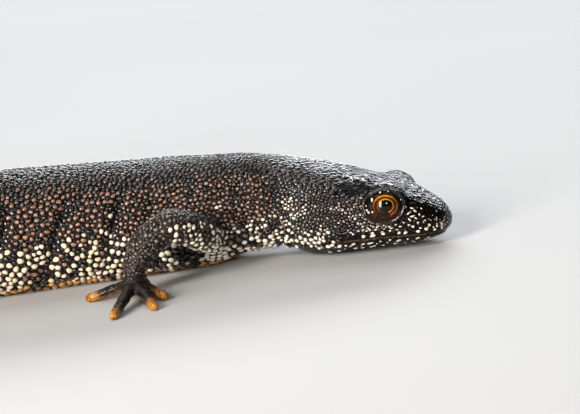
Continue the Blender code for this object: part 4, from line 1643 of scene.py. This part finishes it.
def side_warts(here, triangles, wanted, rng):
    """The warts of one side of the body, with their kinds and heights."""
    spots = packed(here, triangles, wanted, BODY_SIZES, usual_body_wart, rng)
    kinds = body_kinds(spots, rng)
    on_face = spots.along < 15.0
    little = spots.radius < 0.77 * usual_body_wart(spots)[0]
    kinds = np.where(little & (kinds == IS_CREAM) & (spots.along > 9.0), IS_SOOT, kinds)
    speckled = on_face & (kinds == IS_CREAM) & (throatness(spots) < 0.3)
    kinds = np.where(speckled, IS_SPECK, kinds)
    spots.radius = spots.radius * np.where(speckled, 0.62, np.where(kinds == IS_CREAM, 0.90, 1.0))
    throat_cream = on_face & (kinds == IS_CREAM)
    dulled = rng.random(len(kinds)) < 0.5
    kinds = np.where(little & ~speckled & ~throat_cream & dulled, IS_SOOT, kinds)
    crown, throat = crownness(spots), throatness(spots)
    heights = 0.70 - 0.24 * crown - 0.25 * rib_groove(spots.points, spots.along, spots.height, 0.5)
    heights = heights - 0.2 * step(74.0, 82.0, spots.along)
    heights = heights - 0.16 * (1 - step(14.0, 18.0, spots.along)) * (1 - crown) * (1 - throat)
    spots.stretch = spots.stretch * np.where(speckled, 1 + 0.5 * rng.random(len(kinds)), 1.0)
    spots.spin = spots.spin * np.where(speckled, 4.0, 1.0)
    return spots, kinds, heights


def length_groups(parts, start, end, small, rng):
    """The groups of domes for one length of the body."""
    groups = []
    for spots, kinds, heights in parts:
        chosen = (spots.along >= start) & (spots.along < end)
        groups += split_sizes(spots.picked(chosen), kinds[chosen], small, heights[chosen], rng)
    return groups


def make_body_warts(settings):
    here, triangles = MADE["skin"], MADE["triangles"]
    body = wart_places(here)
    parts = []
    for side, word in zip(SIDES, ("right", "left")):
        rng = np.random.default_rng(settings.seed + (side > 0))
        parts.append(side_warts(here, triangles, body & (here.aside * side > -0.02), rng))
        for which, start, end in (("front", HEAD_END, 45.0), ("rear", 45.0, 75.0)):
            groups = length_groups(parts[-1:], start, end, 0.17, rng)
            joined_warts(f"warts_{which}_{word}", groups, body_unwrap(start - 0.5, end + 0.5), rng)
    rng = np.random.default_rng(settings.seed + 3)
    groups = length_groups(parts, -1.0, HEAD_END, 0.10, rng)
    for kind, made in (
        # The face folds take the cream colour as a painted highlight of wet glare.
        (IS_CREAM, lip_spots), (IS_CREAM, lid_spots), (IS_SPECK, snout_specks), (IS_CREAM, face_glint_folds)
    ):
        spots, radius, longer, tall = made(here, rng)
        spots.radius = radius
        count = len(radius)
        kinds, wider, heights = np.full(count, kind), np.ones(count), np.full(count, tall)
        groups.append((spots, kinds, longer, wider, heights, MADE["fine_dome"]))
    joined_warts("warts_head", groups, body_unwrap(0.0, HEAD_END), rng)
    groups = length_groups(parts, 75.0, 141.0, 0.19, rng)
    joined_warts("warts_tail", groups, body_unwrap(75.0, 141.0), rng)


def usual_leg_wart(at):
    radius = 0.225 - 0.085 * step(0.4, 0.66, at.leg_share)
    return radius, np.ones(len(radius))


LEG_SIZES = (
    ((0.75, 1.25), 16000, 0.97, lambda at: 1 - 0.8 * step(0.6, 0.68, at.leg_share)),
    ((0.5, 0.65), 16000, 0.95, lambda at: 1 - 0.5 * step(0.6, 0.68, at.leg_share)),
)


def leg_unwrap(at):
    """The map of the legs: each has a quarter of it."""
    angle = (np.arctan2(at.normals[:, 1], at.normals[:, 0]) / (2 * math.pi)) % 1.0
    return (at.leg - 1) * 0.25 + 0.01 + 0.23 * angle, at.leg_share * 0.98 + 0.01


def make_leg_warts(settings):
    here, triangles = MADE["skin"], MADE["triangles"]
    rng = np.random.default_rng(settings.seed + 9)
    wanted = (here.leg > 0) & (here.leg_share < 0.70) & (here.height > 0.5)
    spots = packed(here, triangles, wanted, LEG_SIZES, usual_leg_wart, rng, on_body=False)
    count = len(spots.along)
    kinds = np.where(rng.random(count) < 0.75, IS_SLATE, IS_SOOT)
    white = (spots.leg_share < 0.33) & (spots.normals[:, 2] < 0.45) & (spots.radius > 0.15)
    kinds = np.where(white & (rng.random(count) < 0.55), IS_CREAM, kinds)
    heights = 0.55 + 0.1 * (kinds == IS_CREAM)
    joined_warts("warts_legs", split_sizes(spots, kinds, 0.16, heights, rng), leg_unwrap, rng)


# Cream spots along the lips: height over the mouth line, places along it, half width, stretch, unevenness.
LIP_ROWS = (
    (0.46, (0.9, 1.5, 2.2, 3.0, 4.0, 4.9, 6.3, 7.2, 8.3), 0.155, 1.4, 0.10),
    (0.80, (0.6, 1.2, 1.9, 2.6, 3.5, 5.5, 7.4, 9.2), 0.115, 1.2, 0.16),
    (-0.38, (0.8, 1.5, 2.2, 3.1, 4.2, 4.9, 5.8, 6.8, 7.6, 8.4, 9.3, 10.2), 0.150, 1.6, 0.08),
    (-0.66, (0.6, 1.7, 2.6, 3.6, 5.2, 6.3, 7.2, 8.8, 9.7), 0.105, 1.3, 0.10),
    (-0.98, (1.8, 2.6, 3.7, 4.6, 5.5, 6.6, 7.3, 7.9, 8.6, 9.5, 10.4, 11.2, 12.2), 0.150, 1.4, 0.08),
)
# Cream spots on the lids: forward and up from the middle of the eye, and half width.
LID_SPOT_DEPTH = 1.1  # how far out from the middle of the eye they lie
LID_SPOTS = (
    (-1.50, 1.02, 0.10), (-1.40, 0.84, 0.12), (-1.36, 0.66, 0.08), (-0.35, 1.42, 0.07), (0.38, 1.44, 0.05),
    (-1.82, -0.22, 0.11), (-1.76, -0.48, 0.13), (-1.36, -0.50, 0.10), (-1.88, 0.22, 0.07), (1.60, 0.42, 0.05),
)


def nearest_spots(here, points):
    """The spots of the skin that are nearest to some points."""
    index = [int(((here.points - point) ** 2).sum(axis=1).argmin()) for point in points]
    return Spots(here, np.array(index)[:, None])


def lip_spots(here, rng):
    """Cream spots in rows along both lips."""
    points, radius, longer = [], [], []
    for lift, alongs, size, stretch, loose in LIP_ROWS:
        for side in SIDES:
            for along in alongs:
                at = along + 0.3 * (rng.random() - 0.5)
                height = float(through(MOUTH, at)) + lift + loose * (rng.random() * 2 - 1)
                points.append(side_place(at, height, side))
                radius.append(size * (0.68 + 0.52 * rng.random()))
                longer.append(1 + (stretch - 1) * (0.3 + 1.4 * rng.random()))
    spots = nearest_spots(here, points)
    spots.spin = 0.25 * rng.standard_normal(len(radius))
    return spots, np.array(radius), np.array(longer), 0.4


# Tiny pale specks of the snout: how many on each side, then the least and the range of along, height and
# radius, and how much they crowd towards the tip.
SNOUT_SPECKS = (
    (34, (0.12, 2.2), (1.95, 1.1), (0.05, 0.05), 1.5),
    (12, (0.8, 3.2), (2.6, 1.6), (0.04, 0.04), 1.0),
)


def snout_specks(here, rng):
    """Tiny pale specks: many round the tip of the snout and a few on its sides."""
    points, radius = [], []
    for side in SIDES:
        for count, along, height, size, crowding in SNOUT_SPECKS:
            for _ in range(count):
                back = along[0] + along[1] * rng.random() ** crowding
                points.append(side_place(back, height[0] + height[1] * rng.random(), side))
                radius.append(size[0] + size[1] * rng.random())
    spots = nearest_spots(here, points)
    spots.spin = rng.standard_normal(len(radius))
    return spots, np.array(radius), 1 + 0.8 * rng.random(len(radius)), 0.5


FOLD_SCALE = 0.95
# Wet folds of the face, painted pale as wet glints: along, height, radius, stretch and turn of each.
FACE_GLINT_FOLDS = (
    (3.05, 3.95, 0.10, 2.2, 0.5), (3.35, 3.55, 0.11, 2.4, -0.2), (3.0, 3.25, 0.09, 2.0, 0.3),
    (3.6, 3.2, 0.09, 2.2, 0.9), (2.75, 3.6, 0.08, 1.8, 1.1), (3.75, 3.85, 0.09, 1.9, -0.8),
    (3.35, 4.3, 0.09, 2.0, 0.2), (2.55, 4.05, 0.07, 1.6, 0.7), (4.0, 4.5, 0.08, 1.9, 1.2),
    (2.9, 2.85, 0.08, 1.9, 0.1), (3.8, 2.75, 0.07, 2.4, 0.05), (4.6, 2.72, 0.07, 2.6, 0.0),
    (5.4, 2.70, 0.07, 2.7, 0.05), (6.2, 2.70, 0.07, 2.6, -0.05), (7.0, 2.75, 0.08, 2.4, 0.1),
    (7.7, 2.95, 0.08, 2.0, 0.3), (5.0, 2.98, 0.06, 2.2, 0.1), (5.9, 2.98, 0.06, 2.0, -0.1),
    (6.7, 3.03, 0.07, 1.8, 0.2), (7.4, 3.25, 0.07, 1.8, 0.5), (2.4, 3.35, 0.06, 2.4, -0.4),
    (2.2, 2.95, 0.06, 2.0, 0.2), (4.25, 3.05, 0.06, 2.2, 0.6), (3.45, 2.45, 0.06, 2.8, 0.05),
    (4.9, 2.42, 0.06, 3.0, 0.0), (6.4, 2.44, 0.06, 3.0, 0.02), (7.9, 2.60, 0.06, 2.6, 0.1),
)


def side_place(along, height, side):
    """The point of the head's outline at a height."""
    half_width, back, belly, widest, *squares = (float(value) for value in section(along, COAT_DEPTH))
    upper = height > widest
    reach = (back - widest) if upper else (widest - belly)
    square = squares[0] if upper else squares[1]
    share = min(abs(height - widest) / reach, 0.98)
    return place(along, side * half_width * (1 - share**square) ** (1 / square), height)


def face_glint_folds(here, rng):
    """Wet folds of the face, painted pale as wet glints, a little further back on the left than on the right.
    """
    points, radius, longer, turn = [], [], [], []
    for side in SIDES:
        for along, height, size, stretch, spin in FACE_GLINT_FOLDS:
            points.append(side_place(along + 0.1 * rng.random() * (side > 0), height, side))
            radius.append(FOLD_SCALE * size)
            longer.append(stretch)
            turn.append(spin * side)
    spots = nearest_spots(here, points)
    spots.spin = np.array(turn)
    return spots, np.array(radius), np.array(longer), 0.75


def lid_spots(here, rng):
    """Cream spots on the lids and in front of the eye."""
    points, radius = [], []
    for side in SIDES:
        middle, ahead, above, look = eye_axes(side)
        for forward, up, size in LID_SPOTS:
            points.append(middle + ahead * forward + above * up + look * LID_SPOT_DEPTH)
            radius.append(size)
    spots = nearest_spots(here, points)
    spots.spin = math.pi / 2 + 0.4 * rng.standard_normal(len(radius))
    return spots, np.array(radius), 1 + 0.8 * rng.random(len(radius)), 0.3


RIM_STEPS = 96
RIM_SIDES = 8


def rim_line(here, side):
    """Points along the ridge of the lids, on the skin: its line, and its directions along, out and across."""
    middle, ahead_axis, above_axis, look = eye_axes(side)
    ahead, above, out = eye_plane(here.points, side)
    front = np.flatnonzero((out > 0) & (np.hypot(ahead, above) < 3.0))
    turns = np.linspace(0.0, 2 * math.pi, RIM_STEPS, endpoint=False)
    uneven = 1 + 0.035 * np.sin(3 * turns + 1.0) + 0.02 * np.sin(7 * turns) + 0.012 * np.sin(17 * turns)
    x = RIDGE_MIDDLE[0] + RIDGE_AXES[0] * uneven * np.cos(turns)
    y = RIDGE_MIDDLE[1] + RIDGE_AXES[1] * uneven * np.sin(turns)
    apart_by = (ahead[front][None, :] - x[:, None]) ** 2 + (above[front][None, :] - y[:, None]) ** 2
    nearest = np.argsort(apart_by, axis=1)[:, :4]
    depth = out[front][nearest].mean(axis=1)
    for _ in range(3):
        depth = (np.roll(depth, 1) + 2 * depth + np.roll(depth, -1)) / 4
    line = middle + x[:, None] * ahead_axis + y[:, None] * above_axis + (depth + 0.01)[:, None] * look
    tangent = unit(np.roll(line, -1, axis=0) - np.roll(line, 1, axis=0))
    outward = unit(line - middle)
    return line, outward, unit(np.cross(tangent, outward))


def lid_rim(here, side, settings):
    """A thin wet fold that runs along the ridge of the lids, as a closed ring."""
    line, outward, across = rim_line(here, side)
    thick = settings.rim_radius * (0.35 + 1.2 * step(0.3, 0.75, rough_noise(line / 0.55, 81, 2)))
    bm = bmesh.new()
    bmesh.ops.create_circle(bm, segments=RIM_SIDES, radius=0.2)
    bmesh.ops.rotate(bm, cent=(0, 0, 0), matrix=Matrix.Rotation(math.pi / 2, 3, "X"), verts=bm.verts)
    bmesh.ops.translate(bm, vec=(1, 0, 0), verts=bm.verts)
    whole = bm.verts[:] + bm.edges[:]
    turn = 2 * math.pi
    bmesh.ops.spin(
        bm, geom=whole, cent=(0, 0, 0), axis=(0, 0, 1), angle=turn, steps=RIM_STEPS, use_merge=True
    )
    for vert in bm.verts:
        step_at = round(math.atan2(vert.co.y, vert.co.x) / turn * RIM_STEPS) % RIM_STEPS
        angle = math.atan2(vert.co.z, math.hypot(vert.co.x, vert.co.y) - 1)
        ring = math.cos(angle) * outward[step_at] + math.sin(angle) * across[step_at]
        vert.co = line[step_at] + thick[step_at] * ring
    return finished("rim", bm)


def make_lid_rims(settings):
    mesh = finished("lid_rims", joined([lid_rim(MADE["skin"], side, settings) for side in SIDES]))
    points = mesh_points(mesh)
    # The rim's colour is a painted highlight: grey in patches, more of it in front and away from the top,
    # brown elsewhere.
    shade = rough_noise(points / 0.45, 83, 2)
    for side in SIDES:
        ahead, above, out = eye_plane(points, side)
        shade += 0.2 * step(-0.4, 1.0, ahead) * (1 - step(0.6, 1.2, above)) * (out > 0)
    store(mesh, "markings", mixed(LID_BROWN, RIM_HIGHLIGHT_GREY, step(0.50, 0.72, shade)), "FLOAT_COLOR")
    store(mesh, "wet", np.ones(len(points)))
    set_points(mesh, to_frame(points))
    smooth_shaded(mesh)
    mesh.materials.append(material_named("newt_warts", wart_material))
    obj = shown("lid_rims", mesh)
    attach(obj, "root")


def make_warts(settings):
    MADE["dome"] = dome(9, 3)
    MADE["small_dome"] = dome(6, 2)
    MADE["fine_dome"] = dome(14, 4)
    make_body_warts(settings)
    make_leg_warts(settings)
    make_lid_rims(settings)


def make_eye(word, side, settings):
    middle, ahead, above, look = eye_axes(side)

    def place_of(down, turn):
        lean, spin = down * math.pi, turn * 2 * math.pi
        radius = EYE_RADIUS * (1 + settings.cornea * bell(lean, 0.55))
        flat = np.cos(spin)[:, None] * ahead + np.sin(spin)[:, None] * above
        return middle + radius[:, None] * (np.cos(lean)[:, None] * look + np.sin(lean)[:, None] * flat)

    mesh = finished(word + "_eye_ball", bent_sphere(64, 64, place_of))
    points = mesh_points(mesh)
    store(mesh, "iris_place", np.stack(eye_plane(points, side), axis=1), "FLOAT_VECTOR")
    set_points(mesh, to_frame(points))
    smooth_shaded(mesh)
    obj = shown(word + "_eye_ball", mesh)
    mesh.materials.append(material_named("newt_eye", eye_material))
    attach(obj, "root")
    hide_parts(word + "_eye")


# --- Stage ---

COOL = (0.92, 0.96, 1.0)
# Soft lights: name, place, what it points at, size and colour. Each one's power is a setting.
LIGHTS = (
    ("overhead", (-0.02, 0.24, 0.42), (0.0, 0.0, 0.005), (0.8, 0.30), COOL),
    ("sky", (0.25, 1.20, 0.50), (0.02, 0.0, 0.005), (1.50, 0.30), COOL),
    ("window", (-0.22, -0.30, 0.14), (0.02, 0.0, 0.004), (0.13, 0.30), (1.0, 0.95, 0.89)),
    ("catch", (0.11, -0.34, 0.16), (0.05, 0.0, 0.004), (0.055, 0.055), (1.0, 0.97, 0.93)),
)
ROOM_COLOUR = (0.85, 0.87, 0.90, 1.0)
FLOOR_TONES = ((0.3, (0.42, 0.415, 0.41)), (0.7, (0.45, 0.445, 0.44)))


def make_camera(settings):
    """A long lens that looks a little down at the right eye."""
    low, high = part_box("right_eye")
    eye = (Vector(low) + Vector(high)) / 2
    tilt = settings.camera_tilt
    forward = Vector((0.0, math.cos(tilt), -math.sin(tilt)))
    up = Vector((0.0, math.sin(tilt), math.cos(tilt)))
    right = Vector((1.0, 0.0, 0.0))
    aim = eye - settings.eye_right * right + settings.eye_down * up
    camera = bpy.data.cameras.new("camera")
    camera.lens = settings.lens
    camera.clip_start = 0.01
    holder = shown("camera", camera)
    turned = Matrix((right, up, -forward)).transposed().to_4x4()
    place_at = Matrix.Translation(aim - forward * settings.camera_distance)
    holder.matrix_world = place_at @ turned @ Matrix.Rotation(-settings.camera_roll, 4, "Z")
    bpy.context.scene.camera = holder


def make_floor(settings):
    bm = bmesh.new()
    bmesh.ops.create_grid(bm, x_segments=2, y_segments=2, size=settings.floor_size / 2)
    mesh = finished("floor", bm)
    floor = shown("floor", mesh)
    material, tree, shader = new_material("pale_floor")
    grain = node(tree, "ShaderNodeTexNoise", (-300, 0), (("Scale", 60.0),)).outputs["Fac"]
    feed(tree, shader.inputs["Base Color"], ramp(tree, (0, 0), grain, FLOOR_TONES))
    feed(tree, shader.inputs["Roughness"], 0.7)
    mesh.materials.append(material)


def make_lights(settings):
    for name, at, towards, size, colour in LIGHTS:
        lamp = bpy.data.lights.new(name, "AREA")
        lamp.shape = "RECTANGLE"
        lamp.size, lamp.size_y = size
        lamp.energy = getattr(settings, name)
        lamp.color = colour
        turn = (Vector(towards) - Vector(at)).to_track_quat("-Z", "Y").to_matrix().to_4x4()
        shown(name, lamp).matrix_world = Matrix.Translation(at) @ turn
    world = bpy.data.worlds.new("pale_room")
    bpy.context.scene.world = world
    world.use_nodes = True
    background = world.node_tree.nodes["Background"]
    background.inputs[0].default_value = ROOM_COLOUR
    background.inputs[1].default_value = settings.room


def make_stage(settings):
    make_camera(settings)
    make_floor(settings)
    make_lights(settings)
    bpy.context.scene.view_settings.view_transform = "Standard"


# --- Settings ---


def number(name, description, default, **more):
    return FloatProperty(name=name, description=description, default=default, **more)


def share(name, description, default):
    return number(name, description, default, min=0.0, max=1.0)


def whole_number(name, description, default, **more):
    return IntProperty(name=name, description=description, default=default, **more)


class NewtSkinSettings(bpy.types.PropertyGroup):
    points_round: whole_number("Points round the body", "Points round each ring of the skin", 144, min=32)
    leg_grain: number("Leg grain", "Space between points of the legs, in millimetres", 0.22, min=0.1)
    granules: number("Granules", "Fine granules for each metre of skin", 3600.0)
    grain_depth: number("Grain depth", "Height of the fine grain, in millimetres", 0.16)
    roughness: share("Roughness", "Roughness of the skin where it is least wet", 0.30)
    shine: share("Shine", "Specular level of the skin", 0.16)
    lid_roughness: share("Lid roughness", "Roughness of the smooth skin of the lids", 0.05)
    lid_shine: share("Lid shine", "Specular level of the smooth skin of the lids", 0.05)


class NewtWartSettings(bpy.types.PropertyGroup):
    seed: whole_number("Seed", "Changes where the warts fall", 11)
    rim_radius: number("Lid rim", "Half thickness of the fold round the lids, in millimetres", 0.038)


class NewtEyeSettings(bpy.types.PropertyGroup):
    cornea: number("Cornea", "How far the cornea bulges, as a share of the radius", 0.02)


class NewtStageSettings(bpy.types.PropertyGroup):
    camera_distance: number("Camera distance", "From the camera to the eye", 0.25, unit="LENGTH")
    camera_tilt: number("Camera tilt", "How far the camera looks down", math.radians(12.0), subtype="ANGLE")
    camera_roll: number("Camera roll", "How far the camera leans", math.radians(7.0), subtype="ANGLE")
    lens: number("Lens", "Focal length of the camera, in millimetres", 155.0)
    eye_right: number("Eye to the right", "How far right of the middle the eye is", 0.0095, unit="LENGTH")
    eye_down: number("Eye below the middle", "How far below it the eye is", 0.000965, unit="LENGTH")
    floor_size: number("Floor size", "Side of the floor", 6.0, unit="LENGTH")
    overhead: number("Overhead light", "Power of the soft light from above", 1.4)
    sky: number("Sky light", "Power of the low light from behind", 20.0)
    window: number("Window light", "Power of the light from the left", 4.0)
    catch: number("Catch light", "Power of the small light near the camera", 0.38)
    room: number("Room light", "Strength of the pale room's light", 0.06)


class NewtSettings(bpy.types.PropertyGroup):
    skin: PointerProperty(type=NewtSkinSettings, name="Skin", description="Sizes of the skin")
    warts: PointerProperty(type=NewtWartSettings, name="Warts", description="How the warts lie")
    eyes: PointerProperty(type=NewtEyeSettings, name="Eyes", description="Sizes of the eyes")
    stage: PointerProperty(type=NewtStageSettings, name="Stage", description="Camera, floor and lights")


# --- Operators ---


class NEWT_OT_stage(bpy.types.Operator):
    """Sets up the camera, the floor and the lights"""

    bl_idname = "newt.stage"
    bl_label = "Stage"

    def execute(self, context):
        make_stage(context.scene.newt.stage)
        return {"FINISHED"}


class NEWT_OT_skin(bpy.types.Operator):
    """Makes the one skin over head, trunk, tail and legs"""

    bl_idname = "newt.skin"
    bl_label = "Skin"

    def execute(self, context):
        make_skin(context.scene.newt.skin)
        return {"FINISHED"}


class NEWT_OT_warts(bpy.types.Operator):
    """Sets the warts of the head, trunk, tail and legs on the skin"""

    bl_idname = "newt.warts"
    bl_label = "Warts"

    def execute(self, context):
        make_warts(context.scene.newt.warts)
        return {"FINISHED"}


class NEWT_OT_eyes(bpy.types.Operator):
    """Makes both eyes"""

    bl_idname = "newt.eyes"
    bl_label = "Eyes"

    def execute(self, context):
        for word, side in (("right", -1), ("left", 1)):
            make_eye(word, side, context.scene.newt.eyes)
        return {"FINISHED"}


class NEWT_PT_panel(bpy.types.Panel):
    """The newt's pieces"""

    bl_label = "Crested newt"
    bl_idname = "NEWT_PT_panel"
    bl_space_type = "VIEW_3D"
    bl_region_type = "UI"
    bl_category = "Newt"

    def draw(self, context):
        for operator in OPERATORS:
            self.layout.operator(operator.bl_idname)


OPERATORS = (NEWT_OT_stage, NEWT_OT_skin, NEWT_OT_warts, NEWT_OT_eyes)
GROUPS = (NewtSkinSettings, NewtWartSettings, NewtEyeSettings, NewtStageSettings, NewtSettings)
CLASSES = (*GROUPS, *OPERATORS, NEWT_PT_panel)


def register():
    for each in CLASSES:
        bpy.utils.register_class(each)
    bpy.types.Scene.newt = PointerProperty(type=NewtSettings)


def unregister():
    del bpy.types.Scene.newt
    for each in reversed(CLASSES):
        bpy.utils.unregister_class(each)


def main():
    register()
    bpy.ops.newt.stage()
    bpy.ops.newt.skin()
    bpy.ops.newt.warts()
    bpy.ops.newt.eyes()


if __name__ == "__main__":
    main()
